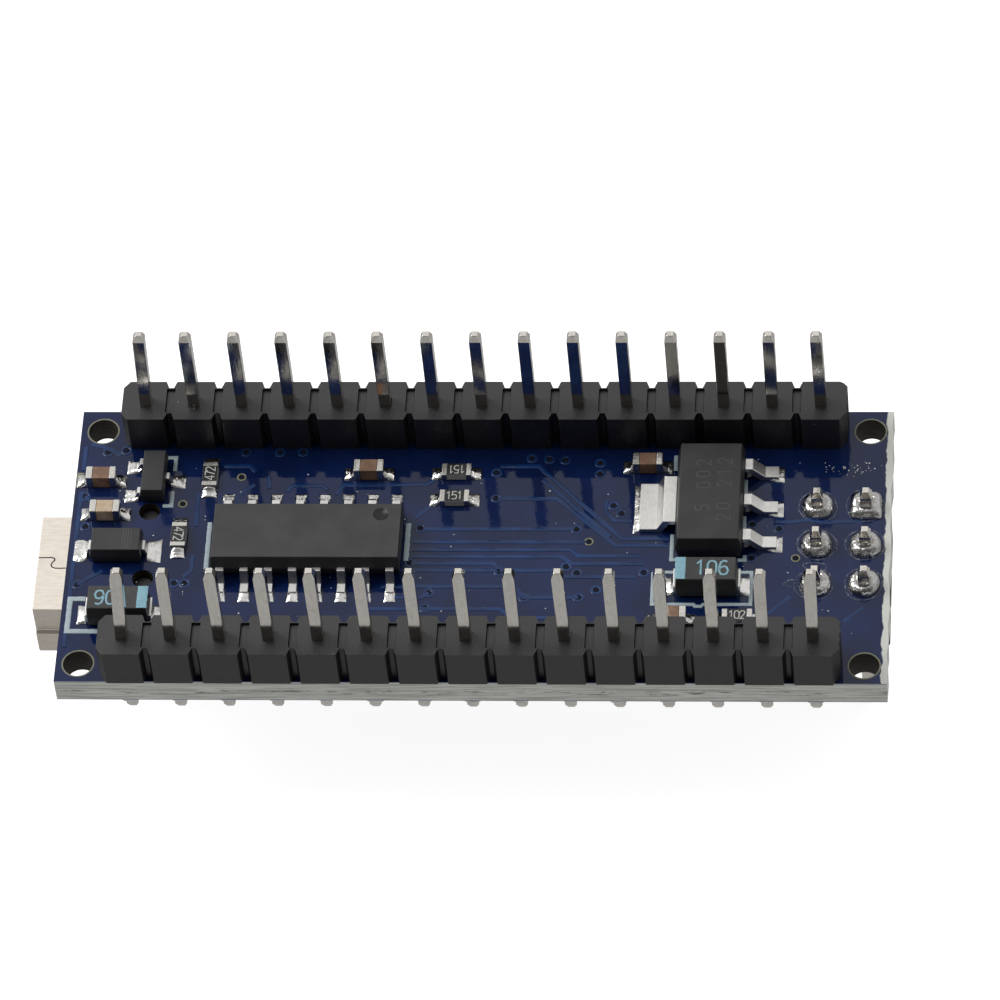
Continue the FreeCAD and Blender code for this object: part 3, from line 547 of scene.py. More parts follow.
def mound(x, y, radius, height, base_z, side, seed, square=0.0, tip=0.36, hollow=0.0):
    """Solder round a pin: r falls from the pad to the pin as z rises by the sine of the way in.

    Seen from above the pad end is a superellipse |x|^p + |y|^p = r^p, with p from 2 to 2 + square.
    """
    angle = np.linspace(0, 2 * math.pi, 40, endpoint=False)
    steps = np.linspace(0, 1, 16)[:, None]
    reach = tip + (radius - tip) * (1 - steps ** 1.25)
    uneven = 1 + wobble(angle, seed, 0.035)[None] * (1 - steps) ** 0.5
    power = 2.0 / (2.0 + square * (1 - steps) ** 2)
    cos_x, sin_y = (np.sign(part) * np.abs(part) ** power for part in (np.cos(angle), np.sin(angle)))
    rise = (1 - hollow) * np.sin(steps * math.pi / 2) ** 0.8 + hollow * np.sin(steps * math.pi * 0.92) ** 0.8
    lumps = 1 + wobble(angle, seed + 1, 0.10)[None] * np.sin(steps * math.pi)
    rings = np.stack([x + reach * uneven * cos_x, y + reach * uneven * sin_y,
                      base_z + side * (0.03 + height * rise * lumps) + np.zeros_like(cos_x)], axis=-1)
    foot = rings[:1].copy()
    foot[..., 2] = base_z
    return ring_solid(np.concatenate([foot, rings]))


POOL_DOME = 0.05
POOL_GRIP = 0.28
POOL_THINNEST = 0.008


def pool(x, y, length, width, turn, climb, base_z, side, seed):
    """Solder on a pad whose +X end lies against a part: z = dome + climb * exp(-distance / grip)."""
    u, v = np.meshgrid(np.linspace(-1, 1, 19), np.linspace(-1, 1, 13), indexing="ij")
    rim = np.clip(1 - np.abs(u) ** 8, 0, 1) * np.clip(1 - np.abs(v) ** 5, 0, 1)
    ripple = wobble(u * 2.6, seed, 0.10) + wobble(v * 2.9, seed + 7, 0.10)
    away = (1 - u) / 2 * length
    waist = 1 - 0.18 * np.exp(-away / POOL_GRIP)
    bare = np.clip(1 - v ** 2 * 0.55, 0.2, 1)
    high = POOL_DOME * (0.35 + 0.65 * rim) * (1 + ripple)
    high = high + climb * np.exp(-away / POOL_GRIP) * bare * (1 + 0.5 * ripple)
    high = np.maximum(high * np.where(np.abs(v) > 0.99, 0.35, 1.0), POOL_THINNEST)
    ragged = 1 + wobble(v * 3.1, seed + 3, 0.02)
    local_x, local_y = u * length / 2 * ragged, v * width / 2 * waist * (1 + wobble(u * 2.2, seed + 5, 0.03))
    cosine, sine = math.cos(math.radians(turn)), math.sin(math.radians(turn))
    top = np.stack([x + local_x * cosine - local_y * sine, y + local_x * sine + local_y * cosine,
                    base_z + side * high], axis=-1)
    return slab_solid(top, base_z)


def chip_pools(x, y, turn, climb, seed, half, run, width):
    """The two pools at the ends of a chip part on the pin side."""
    reach = half - 0.02 + run / 2
    return [pool(*beside((x, y), turn, end * reach, 0), run, width, turn + facing, climb, 0, 1, seed + 2 + end)
            for end, facing in ((1, 180), (-1, 0))]


RIBBON_ACROSS = np.array([-1, -0.88, -0.5, 0.5, 0.88, 1.0])
RIBBON_RISE = np.array([0, 0.72, 1, 1, 0.72, 0.0])


def ribbon(points, width, height, base_z=0.0, side=1, ragged=0.0, seed=1, step=None):
    """A flat track: a low arch of six points carried along the mitred path."""
    path = np.array(points, float)
    if step:
        path = refined(path, step)
    ahead = np.diff(path, axis=0)
    ahead /= np.linalg.norm(ahead, axis=1)[:, None]
    first, last = ahead[:1], ahead[-1:]
    before, after = np.concatenate([first, ahead]), np.concatenate([ahead, last])
    across = before + after
    across /= np.linalg.norm(across, axis=1)[:, None]
    mitre = 1 / np.clip((across * after).sum(1), 0.5, 1)
    normal = np.stack([-across[:, 1], across[:, 0]], axis=-1) * mitre[:, None]
    draw = np.random.default_rng(seed)
    jitter = 1 + ragged * draw.uniform(-1, 1, (len(path), 2))
    spread = RIBBON_ACROSS * width / 2
    rise = RIBBON_RISE * height
    sides = np.where(spread[None] < 0, jitter[:, :1], jitter[:, 1:])
    flat = path[:, None] + normal[:, None] * (spread[None] * sides)[..., None]
    level = np.broadcast_to(base_z + side * rise[None, :, None], flat.shape[:2] + (1,))
    return ring_solid(np.concatenate([flat, level], -1))


def refined(path, step):
    """The same straight path with points no further apart than step."""
    stretches = [np.linspace(a, b, max(2, int(np.hypot(*(b - a)) / step) + 1))[:-1]
                 for a, b in zip(path, path[1:])]
    return np.concatenate(stretches + [path[-1:]])


def turned_profile(x, y, profile, base_z=0.0, side=1, count=28):
    """A profile of (radius, height) pairs carried round a vertical axis, with a flat face at each end."""
    angle = np.linspace(0, 2 * math.pi, count, endpoint=False)
    across, along, level = np.cos(angle), np.sin(angle), 0 * angle
    return ring_solid(np.array([np.stack([x + r * across, y + r * along, base_z + side * z + level], -1)
                                for r, z in profile]))


def annulus(x, y, inner, outer, height, base_z=0.0, side=1, count=40):
    """A flat ring with a softly raised crown: the closed section is carried round the hole."""
    angle = np.linspace(0, 2 * math.pi, count, endpoint=False)
    slope = 0.2 * (outer - inner)
    radii = np.array([inner, inner, inner + slope, outer - slope, outer, outer])
    rise = np.array([0, 0.6, 1, 1, 0.6, 0]) * height
    points = np.stack([x + radii[:, None] * np.cos(angle), y + radii[:, None] * np.sin(angle),
                       base_z + side * rise[:, None] + 0 * angle], -1)
    index = np.arange(len(radii) * count).reshape(len(radii), count)
    after = np.roll(index, -1, axis=1)
    nearer, further = np.roll(index, -1, axis=0), np.roll(after, -1, axis=0)
    faces = np.stack([index, after, further, nearer], axis=-1).reshape(-1, 4)
    return points.reshape(-1, 3), faces.tolist()


DIGITS = {
    "0": [(0.3, 1), (0.13, 0.93), (0.05, 0.72), (0.05, 0.28), (0.13, 0.07), (0.3, 0), (0.47, 0.07),
          (0.55, 0.28), (0.55, 0.72), (0.47, 0.93), (0.3, 1)],
    "1": [(0.1, 0.78), (0.32, 1), (0.32, 0)],
    "2": [(0.06, 0.78), (0.13, 0.94), (0.3, 1), (0.48, 0.94), (0.55, 0.76), (0.47, 0.55), (0.06, 0),
          (0.56, 0)],
    "3": [(0.06, 0.9), (0.28, 1), (0.5, 0.9), (0.52, 0.7), (0.28, 0.54), (0.54, 0.4), (0.55, 0.18),
          (0.3, 0), (0.06, 0.1)],
    "4": [(0.42, 0), (0.42, 1), (0.03, 0.3), (0.58, 0.3)],
    "5": [(0.53, 1), (0.12, 1), (0.08, 0.55), (0.3, 0.62), (0.5, 0.52), (0.56, 0.3), (0.48, 0.08),
          (0.28, 0), (0.05, 0.08)],
    "6": [(0.5, 0.92), (0.32, 1), (0.14, 0.88), (0.05, 0.55), (0.05, 0.28), (0.14, 0.05), (0.3, 0),
          (0.47, 0.06), (0.56, 0.3), (0.47, 0.54), (0.3, 0.6), (0.12, 0.5), (0.05, 0.34)],
    "7": [(0.04, 1), (0.56, 1), (0.22, 0)],
    "8": [(0.3, 0.54), (0.1, 0.66), (0.1, 0.9), (0.3, 1), (0.5, 0.9), (0.5, 0.66), (0.3, 0.54),
          (0.06, 0.38), (0.06, 0.12), (0.3, 0), (0.54, 0.12), (0.54, 0.38), (0.3, 0.54)],
    "9": [(0.1, 0.08), (0.28, 0), (0.46, 0.12), (0.55, 0.45), (0.55, 0.72), (0.46, 0.95), (0.3, 1),
          (0.13, 0.94), (0.05, 0.7), (0.13, 0.46), (0.3, 0.4), (0.48, 0.5), (0.55, 0.66)],
}


def lettering(text, x, y, z, turn, height, advance, line, rise=0.012, side=1):
    """Digits drawn with a pen of width line, centred on (x, y); on the -Z face they read from below."""
    solids = []
    width = advance * (len(text) - 1) + 0.6 * height
    for number, digit in enumerate(text):
        if digit == " ":
            continue
        local = np.array(DIGITS[digit], float) * height
        local += (number * advance - width / 2, -height / 2)
        local[:, 0] *= side
        path = [beside((x, y), turn, dx, dy) for dx, dy in local]
        solids.append(ribbon(path, line, rise, z, side))
    return solids


def beside(origin, turn, dx, dy):
    """The point at (dx, dy) from an origin, in axes turned about Z."""
    cosine, sine = math.cos(math.radians(turn)), math.sin(math.radians(turn))
    return origin[0] + dx * cosine - dy * sine, origin[1] + dx * sine + dy * cosine


def merged_copy(node):
    """The CAD node's own solid with its triangles joined into flat faces."""
    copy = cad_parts[node].data.copy()
    work = bmesh.new()
    work.from_mesh(copy)
    bmesh.ops.remove_doubles(work, verts=work.verts, dist=0.0005 * MM)
    bmesh.ops.dissolve_limit(work, angle_limit=math.radians(0.6), verts=work.verts, edges=work.edges)
    work.to_mesh(copy)
    work.free()
    return copy


def softened(node, finish_name, radius, round_sides=False, body=BOARD, segments=2):
    """The CAD node with its edges rounded; pieces with curved sides are shaded smooth."""
    mesh = merged_copy(node)
    mesh.polygons.foreach_set("use_smooth", np.full(len(mesh.polygons), round_sides))
    if round_sides:
        mesh.set_sharp_from_angle(angle=math.radians(35))
    made = bpy.data.objects.new(node + "_finished", mesh)
    bevel = made.modifiers.new("soft_edges", "BEVEL")
    bevel.width = radius * MM
    bevel.segments = segments
    bevel.limit_method = "ANGLE"
    bevel.angle_limit = math.radians(32)
    bevel.harden_normals = round_sides
    return settle(made, finish_name, body, (node,))


def dressed(node, finish_name):
    """A CAD node that stays as it is, with its finish."""
    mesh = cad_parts[node].data
    mesh.materials.clear()
    mesh.materials.append(finish(finish_name))


# ---------------------------------------------------------------- where things are, in millimetres

CERAMICS = [(-20.09, 4.25, 0), (-19.70, 2.05, 0), (-5.95, 4.75, 0), (8.72, 5.20, 0), (10.30, -4.80, 0)]
RESISTORS = [(-14.35, 4.50, 90), (-15.70, 0.50, -90), (-1.34, 4.78, 180), (-1.36, 3.05, 0), (13.70, -4.68, 0)]
RESISTOR_CODES = ["472", "472", "151", "151", "102"]
TANTALUMS = {"right": (12.09, -2.56, 0), "left": (-18.40, -4.50, 180)}
DIODE = (-18.88, -0.33)
TRANSISTOR = (-17.28, 4.24)
TRANSISTOR_PADS = [(-1.15, 0.95, 0), (-1.15, -0.95, 0), (1.25, 0.0, 180)]
INTERFACE = (-8.85, -0.1)
INTERFACE_PITCH = 1.27
INTERFACE_PAD_Y = 3.16
DIMPLE = (-5.0, 0.96)
REGULATOR = (12.1, 2.45)
REGULATOR_LEAD_PADS = [(3.42, -2.3), (3.42, 0), (3.42, 2.3)]
REGULATOR_TAB_PAD = -3.84
CONTROLLER = (0.5, 0.0)
CONTROLLER_PITCH = 0.8
CONTROLLER_PAD = 4.62

TRACK_WIDTH = 0.24
VIA_RING = (0.17, 0.30)
VIA_RISE = 0.8
BRIGHT_VIA_RING = (0.17, 0.25)
BRIGHT_VIA_RISE = 0.03
# Profile of the thin disc of painted shade laid over each via hole.
VIA_SHADE_DISC = [(0.19, 0), (0.19, 0.006), (0.1, 0.009)]
HOLE_RING = (0.785, 0.86)
BARE_RISE = 0.012
BARE_PATCH = [(-21.3, 4.85), (-21.3, 3.85)]
SOCKET_SEAM = [
    (-23.32, 0.44), (-22.62, 0.46), (-22.47, 0.40), (-22.44, 0.28), (-22.56, 0.14), (-22.62, -0.02),
    (-22.56, -0.16), (-22.40, -0.24), (-22.10, -0.25), (-21.30, -0.20),
]
FLUX_LOOPS = [(17.75, -1.25, 0.4), (16.5, -2.35, 0.35)]
TRACKS = [
    [(-2.9, 1.15), (5.0, 1.15)],
    [(-3.4, 0.30), (5.7, 0.30)],
    [(-3.4, -0.20), (4.9, -0.20), (5.3, -0.60), (8.6, -0.60)],
    [(-3.4, -0.65), (4.4, -0.65), (5.0, -1.10), (8.7, -1.10)],
    [(-3.4, -1.10), (0.9, -1.10), (1.22, -1.61)],
    [(-4.6, -1.55), (4.2, -1.55), (4.6, -1.95), (8.3, -1.95)],
    [(-4.9, -2.60), (2.1, -2.60), (2.61, -3.31), (5.42, -3.28)],
    [(-4.7, -3.30), (-2.7, -3.30), (-2.39, -3.0)],
    [(-5.9, -4.05), (-2.5, -4.05), (1.4, -4.05), (2.0, -4.6), (5.0, -4.6)],
    [(0.9, 5.30), (3.0, 5.30), (3.3, 4.90), (7.5, 0.55), (10.0, 0.55)],
    [(0.9, 3.15), (4.0, 3.15), (7.2, 0.10), (9.9, 0.10)],
    [(3.2, 4.40), (6.9, 0.65)],
    [(-7.6, 3.40), (-7.3, 4.05), (-2.9, 4.10), (-2.5, 4.40)],
    [(-3.4, 1.90), (-2.6, 2.60)],
    [(-13.7, 5.30), (-12.3, 5.30), (-12.0, 4.90)],
    [(-12.7, 3.40), (-12.0, 4.10)],
    [(-11.3, 4.60), (-11.2, 3.80)],
    [(-10.2, 3.60), (-10.0, 4.00), (-8.4, 4.00), (-8.1, 3.70)],
    [(6.6, 3.0), (6.6, 2.3), (7.1, 1.7), (8.0, 1.7)],
    [(15.5, 1.70), (16.3, 1.62), (17.2, 1.78), (18.1, 1.62), (20.0, 1.70)],
    [(19.2, -4.80), (20.2, -3.90)],
    [(16.4, -3.2), (15.4, -4.2), (14.9, -4.6)],
    [(-14.9, 3.4), (-14.9, 1.3)],
    [(-14.9, -0.6), (-14.9, -1.6), (-15.3, -2.0)],
    [(-21.15, 6.6), (-21.15, 5.0)],
    [(-21.15, 3.6), (-21.15, -6.6)],
    [(-20.91, 3.28), (-20.4, 2.9)],
    [(-19.6, -1.6), (-20.4, -2.2), (-20.81, -2.53)],
    [(-20.9, 6.75), (-20.3, 6.6), (-19.75, 6.35), (-19.2, 6.0)],
]
VIAS = [
    (-19.94, 6.22), (-18.97, 6.33), (-20.91, 3.28), (-20.72, 1.28), (-20.81, -2.53), (-15.74, -2.41),
    (-15.19, -2.42), (-12.6, 6.24), (-10.8, 6.22), (-9.58, 6.24), (-3.06, 1.22), (-3.5, -1.06),
    (0.74, 4.89), (0.81, 3.19), (-2.39, -3.0), (-2.5, -4.0), (1.22, -1.61), (2.61, -3.31),
    (2.56, 5.83), (3.48, 5.78), (4.33, 5.72), (5.13, 1.14), (5.28, -1.7), (4.7, -1.3), (5.42, -3.28),
    (6.33, -2.8), (6.17, 5.52), (6.2, 4.8), (7.0, 2.7), (7.44, 2.19), (8.76, -1.67), (14.28, 1.5),
    (15.7, 1.2), (14.3, -0.7),
]
BRIGHT_VIAS = [(-15.7, 2.78), (-12.72, 4.56), (5.81, 0.33), (16.6, -0.72)]
INK_LINES = [
    ([(-14.15, 1.55), (-14.15, -1.5)], 0.26), ([(-3.7, 1.5), (-3.7, -0.95)], 0.28),
    ([(10.15, 6.0), (10.15, 5.0)], 0.22), ([(10.15, 0.8), (10.15, -0.85), (10.42, -0.85)], 0.22),
    ([(13.85, 4.4), (13.85, 3.4)], 0.24), ([(13.85, 2.0), (13.85, 1.0)], 0.24),
    ([(13.6, -0.85), (13.95, -0.85), (13.95, -0.55)], 0.22),
    ([(9.25, -1.65), (14.35, -1.65), (14.35, -3.72), (11.9, -3.72), (11.8, -3.85), (11.5, -3.85),
      (11.4, -3.72), (9.25, -3.72), (9.25, -1.65)], 0.2),
    ([(-20.3, -3.45), (-21.1, -3.45), (-21.1, -5.55), (-19.5, -5.55)], 0.3),
    ([(-16.75, 5.85), (-16.3, 5.85), (-16.3, 4.95)], 0.22),
    ([(-16.75, 2.65), (-16.3, 2.65), (-16.3, 3.6)], 0.22),
]


# ---------------------------------------------------------------- operators

# finish, material slot, edge radius in mm, whether the sides are curved, and the CAD nodes
SMALL_PIECES = [
    ("header", "header_plastic", 0.05, False, "programming_header_block"),
    ("pins", "pin_metal", 0.03, False, "programming_header_pins"),
    ("socket", "socket_metal", 0.04, True, "usb_housing"),
    ("socket_core", "socket_plastic", 0.03, False, "usb_insulator"),
    ("gold", "contact_gold", 0.012, False, "usb_contacts"),
    ("epoxy", "chip_moulding", 0.04, False, "interface_chip_body microcontroller_body"),
    ("epoxy_dark", "chip_moulding", 0.04, False, "diode_body transistor_body"),
    ("epoxy_dark", "regulator_moulding", 0.05, False, "regulator_body"),
    ("leads", "lead_metal", 0.025, False,
     "interface_chip_leads microcontroller_leads diode_leads transistor_leads"),
    ("leads", "lead_metal", 0.03, False,
     "regulator_tab regulator_leads tantalum_terminals_left tantalum_terminals_right"),
    ("leads", "lead_metal", 0.02, False, "reset_switch_terminals"),
    ("tantalum", "tantalum_moulding", 0.05, False, "tantalum_capacitor_left tantalum_capacitor_right"),
    ("capacitor", "capacitor_ceramic", 0.04, False,
     "ceramic_capacitor_1 ceramic_capacitor_3 ceramic_capacitor_4 ceramic_capacitor_5 "
     "under_capacitor_bodies"),
    ("capacitor_pale", "capacitor_ceramic", 0.04, False, "ceramic_capacitor_2"),
    ("glaze_up", "resistor_glaze", 0.02, False,
     "chip_resistor_1 chip_resistor_2 chip_resistor_3 chip_resistor_4 chip_resistor_5"),
    ("glaze_down", "resistor_glaze", 0.02, False, "resistor_array_bodies"),
    ("caps", "end_cap_metal", 0.04, True,
     "capacitor_end_caps resistor_end_caps under_capacitor_end_caps resistor_array_end_caps"),
    ("resonator", "resonator_ceramic", 0.05, False, "resonator_base"),
    ("cover", "cover_metal", 0.05, True, "resonator_lid"),
    ("cover", "cover_metal", 0.03, True, "reset_switch_cover"),
    ("led_base", "led_base", 0.03, False, "indicator_led_bases"),
    ("lens", "led_lens", 0.06, True, "indicator_led_lenses"),
    ("switch", "switch_plastic", 0.04, False, "reset_switch_base"),
]


class BOARD_OT_headers(Operator):
    """Finishes the board and softens the two header strips and their pins"""
    bl_idname = "board.headers"
    bl_label = "Board and headers"

    def execute(self, context):
        dressed("circuit_board", "board")
        for row in STRIP_Y:
            softened("header_strip_" + row, "header", 0.015)
            softened("header_pins_" + row, "pins", 0.03)
        self.webs()
        return {"FINISHED"}

    def webs(self):
        """The thin web of moulding between two cells of a strip, sunk below their tops."""
        for row, y in STRIP_Y.items():
            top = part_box("header_strip_" + row)[1].z / MM - WEB_SUNK
            ring = np.array([(-1, -1), (1, -1), (1, 1), (-1, 1)]) * (WEB_WIDTH / 2, WEB_LENGTH / 2)
            solids = []
            for x in ROW_PLACES[:-1]:
                corners = np.concatenate([ring + (x + PITCH / 2, y), np.full((4, 1), top)], axis=1)
                solids.append(ring_solid(np.stack([corners - (0, 0, WEB_THICKNESS), corners])))
            piece("header_webs_" + row, solids, "header", "header_plastic")


class BOARD_OT_moulded_pieces(Operator):
    """Softens and finishes every small moulded, ceramic and plated piece"""
    bl_idname = "board.moulded_pieces"
    bl_label = "Moulded and plated pieces"

    def execute(self, context):
        for finish_name, slot, radius, curved, nodes in SMALL_PIECES:
            for node in nodes.split():
                softened(node, finish_name, radius, curved)
        self.switch()
        self.dimple()
        return {"FINISHED"}

    def switch(self):
        """The softened dome, given a mesh of its own, and the softened plunger, which rides the button."""
        dome = softened("reset_switch_dome", "cover", 0.02, round_sides=True)
        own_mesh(dome)
        softened("reset_plunger", "button", 0.06, True, BUTTON, 3)

    def dimple(self):
        """The round mark by pin 1: a bowl, z = top - depth * cos(r / radius * pi / 2)."""
        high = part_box("interface_chip_body")[1].z / MM
        radius, depth, sunk, underneath = 0.378, 0.07, 0.002, 0.079
        across = np.linspace(1, 0.04, 9) * radius
        bowl = [(radius, -underneath), (radius, -sunk)]
        bowl += [(r, -sunk - depth * math.cos(r / radius * math.pi / 2)) for r in across[1:]]
        bowl_solid = turned_profile(*DIMPLE, bowl, high, count=36)
        piece("interface_chip_dimple", [bowl_solid], "dimple", "chip_moulding")


def vias(name, ringed, height, face=0.0, side=1):
    """The masked rings of some vias on one side of the board, and for all of them a thin near-black disc of
    painted shade where the hole is.
    """
    rings = [annulus(x, y, *VIA_RING, height * VIA_RISE, face, side, 24) for x, y in ringed]
    shade_discs = [turned_profile(x, y, VIA_SHADE_DISC, face, side, 20) for x, y in VIAS + BRIGHT_VIAS]
    on_board(name + "_rings", rings, "copper")
    on_board(name + "_bores", shade_discs, "gap_shade")


class BOARD_OT_copper(Operator):
    """Lays the tracks and vias under the mask"""
    bl_idname = "board.copper"
    bl_label = "Tracks and vias"

    def execute(self, context):
        height = sizes().trace_height
        on_board("tracks", [ribbon(path, TRACK_WIDTH, height) for path in TRACKS], "copper")
        vias("via", VIAS, height)
        bright = [annulus(x, y, *BRIGHT_VIA_RING, BRIGHT_VIA_RISE, count=28) for x, y in BRIGHT_VIAS]
        on_board("bright_via_rings", bright, "bare")
        return {"FINISHED"}


class BOARD_OT_ink(Operator):
    """Prints the outlines on the board"""
    bl_idname = "board.ink"
    bl_label = "Printed outlines"

    def execute(self, context):
        height = sizes().ink_height + sizes().trace_height
        lines = [ribbon(path, width, height, ragged=0.09, seed=number, step=0.12)
                 for number, (path, width) in enumerate(INK_LINES)]
        on_board("printed_outlines", lines, "ink")
        for name, face, side in (("bare_hole_rings", 0.0, 1), ("bare_hole_rings_under", UNDER, -1)):
            rings = [annulus(x, y, *HOLE_RING, BARE_RISE, face, side) for x, y in MOUNT_HOLES]
            on_board(name, rings, "bare")
        patch = ribbon(BARE_PATCH, 0.36, BARE_RISE, ragged=0.12, seed=8, step=0.1)
        on_board("bare_patch", [patch], "bare")
        return {"FINISHED"}


# places, climb up the part, first seed, half the part's length, run and width of a pad
CHIP_JOINTS = [
    (CERAMICS, 0.42, 0, 0.8, 0.52, 0.86),
    (RESISTORS, 0.30, 100, 0.8, 0.52, 0.86),
    (TANTALUMS.values(), 0.38, 200, 1.68, 0.55, 1.3),
    ([(*DIODE, 0)], 0.16, 300, 1.62, 0.7, 1.5),
]


class BOARD_OT_solder(Operator):
    """Lays the solder on the pin side and on the under side"""
    bl_idname = "board.solder"
    bl_label = "Solder joints"

    def execute(self, context):
        self.small_parts()
        self.interface_chip()
        self.regulator()
        self.controller()
        self.through_pins()
        for node in ("usb_solder", "under_side_solder"):
            softened(node, "solder", 0.05)
        return {"FINISHED"}

    def small_parts(self):
        solids = []
        for places, climb, seed, *pad in CHIP_JOINTS:
            for number, (x, y, turn) in enumerate(places):
                solids += chip_pools(x, y, turn, climb, seed + 10 * number, *pad)
        x, y = TRANSISTOR
        for number, (dx, dy, facing) in enumerate(TRANSISTOR_PADS):
            solids.append(pool(x + dx, y + dy, 0.75, 0.85, facing, 0.2, 0, 1, 320 + number))
        soldered("pin_side_pools", solids, "pin_side_solder")

    def interface_chip(self):
        x, y = INTERFACE
        length, width, climb, seed = 0.72, 0.62, 0.13, 410
        solids = [pool(x + (index - 3.5) * INTERFACE_PITCH, y + side * INTERFACE_PAD_Y, length, width,
                       -90 * side, climb, 0, 1, seed + index + 9 * side)
                  for index in range(8) for side in (-1, 1)]
        soldered("interface_chip_pools", solids, "interface_chip_solder")

    def regulator(self):
        x, y = REGULATOR
        climb, seed = 0.14, 450
        solids = [pool(x + dx, y + dy, 0.75, 1.0, 180, climb, 0, 1, seed + number)
                  for number, (dx, dy) in enumerate(REGULATOR_LEAD_PADS)]
        solids.append(pool(x + REGULATOR_TAB_PAD, y, 0.34, 3.3, 0, climb, 0, 1, seed + 10))
        soldered("regulator_pools", solids, "regulator_solder")

    def controller(self):
        length, width, climb, seed = 0.6, 0.46, 0.12, 500
        solids = []
        for quarter in range(4):
            turn = 45 + 90 * quarter
            for index in range(8):
                x, y = beside(CONTROLLER, turn, CONTROLLER_PAD, (index - 3.5) * CONTROLLER_PITCH)
                solids.append(pool(x, y, length, width, turn + 180, climb, UNDER, -1,
                                   seed + 10 * quarter + index))
        soldered("microcontroller_pools", solids, "microcontroller_solder")

    def through_pins(self):
        radius = 0.86
        for row, side in (("near", -1), ("far", 1)):
            solids = [mound(x, side * ROW_Y, radius, 1.05, UNDER, -1, 650 + number + side * 40, 1.0, 0.38)
                      for number, x in enumerate(ROW_PLACES)]
            soldered("header_mounds_" + row, solids, "header_solder_" + row)
        solids = []
        for number, (x, y) in enumerate(PROGRAMMER_PINS):
            square = 5.0 if number == SQUARE_PAD else 0.3
            solids.append(mound(x, y, radius, 0.46, 0, 1, 700 + number, square, 0.34, 0.3))
        soldered("programming_mounds", solids, "programming_header_solder", "solder_dull")


class BOARD_OT_print(Operator):
    """Prints the values on the small parts"""
    bl_idname = "board.print_values"
    bl_label = "Printed values"

    def execute(self, context):
        self.resistors()
        self.tantalums()
        self.diode()
        self.regulator()
        return {"FINISHED"}

    def face(self, node, sunk=0.002):
        """Just under the top face of a node, so that the ink grows out of it."""
        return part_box(node)[1].z / MM - sunk

    def resistors(self):
        codes = []
        for number, (code, (x, y, turn)) in enumerate(zip(RESISTOR_CODES, RESISTORS), 1):
            codes += lettering(code, x, y, self.face("chip_resistor_%d" % number), turn, 0.50, 0.29, 0.060)
        piece("resistor_codes", codes, "digits", "resistor_glaze", sharp=60)

    def tantalums(self):
        band_x, band_half, band_width = -1.33, 0.70, 0.55
        for side, (x, y, turn) in TANTALUMS.items():
            face = self.face("tantalum_capacitor_" + side)
            band = [beside((x, y), turn, band_x, end) for end in (-band_half, band_half)]
            stripe = ribbon(band, band_width, 0.010, face, ragged=0.06, seed=5, step=0.07)
            code = lettering(" 106", *beside((x, y), turn, 0.01, 0.03), face, turn, 0.90, 0.60, 0.11)
            piece("tantalum_print_" + side, [stripe] + code, "print_blue", "tantalum_moulding", sharp=60)

    def diode(self):
        x, y = DIODE
        face, half = self.face("diode_body"), 0.66
        lines = [ribbon([(x + dx, y - half), (x + dx, y + half)], 0.06, 0.006, face, 1, 0.2, 3, 0.1)
                 for dx in (0.38, 0.52, 0.66, 0.80)]
        piece("diode_band", lines, "etched", "chip_moulding")

    def regulator(self):
        x, y = REGULATOR
        face = self.face("regulator_body", 0.003)
        etched = []
        for digits, dx, dy in (("5 002", -0.35, 0.35), ("20 212", 0.75, 0.1)):
            etched += lettering(digits, x + dx, y + dy, face, 90, 0.72, 0.74, 0.06, 0.006)
        piece("regulator_marks", etched, "etched", "regulator_moulding", sharp=60)


class BOARD_OT_residue(Operator):
    """Leaves flux rings round the joints, dust on the board and the seam of the socket as a dark line of
    painted shade
    """
    bl_idname = "board.residue"
    bl_label = "Flux, dust and seam"

    def execute(self, context):
        self.flux()
        self.dust()
        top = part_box("usb_housing")[1].z / MM
        # The seam's gap is drawn as a raised near-black ribbon: painted shade on the housing.
        piece("socket_seam_shade", [ribbon(SOCKET_SEAM, 0.07, 0.012, top - 0.002)], "gap_shade", "socket_metal")
        return {"FINISHED"}

    def flux(self):
        """Uneven ellipses, each drawn by a low ribbon."""
        solids = []
        angle = np.linspace(0, 2 * math.pi, 48)
        for number, (x, y) in enumerate(PROGRAMMER_PINS):
            reach = 1.0 + wobble(angle, 40 + 2 * number, 0.07)
            path = np.stack([x + reach * np.cos(angle), y + reach * np.sin(angle)], axis=-1)
            solids.append(ribbon(path, 0.08, 0.02, ragged=0.6, seed=number))
        for x, y, radius in FLUX_LOOPS:
            reach = radius * (1 + wobble(angle, int(10 * (x + radius)), 0.25))
            path = np.stack([x + 1.5 * reach * np.cos(angle), y + 0.6 * reach * np.sin(angle)], axis=-1)
            solids.append(ribbon(path, 0.06, 0.02, ragged=0.6, seed=9))
        piece("flux_rings", solids, "flux", "solder")

    def dust(self):
        """Six-cornered flakes, strewn over the board and thicker in one corner."""
        thickness, corner, spread = 0.012, (19.4, 5.15), (0.9, 0.22)
        draw = np.random.default_rng(11)
        flakes = []
        strewn = np.stack([draw.uniform(-20.5, 20.5, 90), draw.uniform(-5.9, 6.0, 90)], axis=-1)
        gathered = draw.normal(corner, spread, (40, 2))
        for x, y in np.concatenate([strewn, gathered]):
            size = draw.uniform(0.02, 0.055)
            angle = np.sort(draw.uniform(0, 2 * math.pi, 6))
            ring = np.stack([x + size * np.cos(angle), y + size * np.sin(angle), 0 * angle], axis=-1)
            flakes.append(ring_solid(np.stack([ring, ring * (1, 1, 0) + (0, 0, thickness)])))
        on_board("dust_flakes", flakes, "dust", sharp=80)


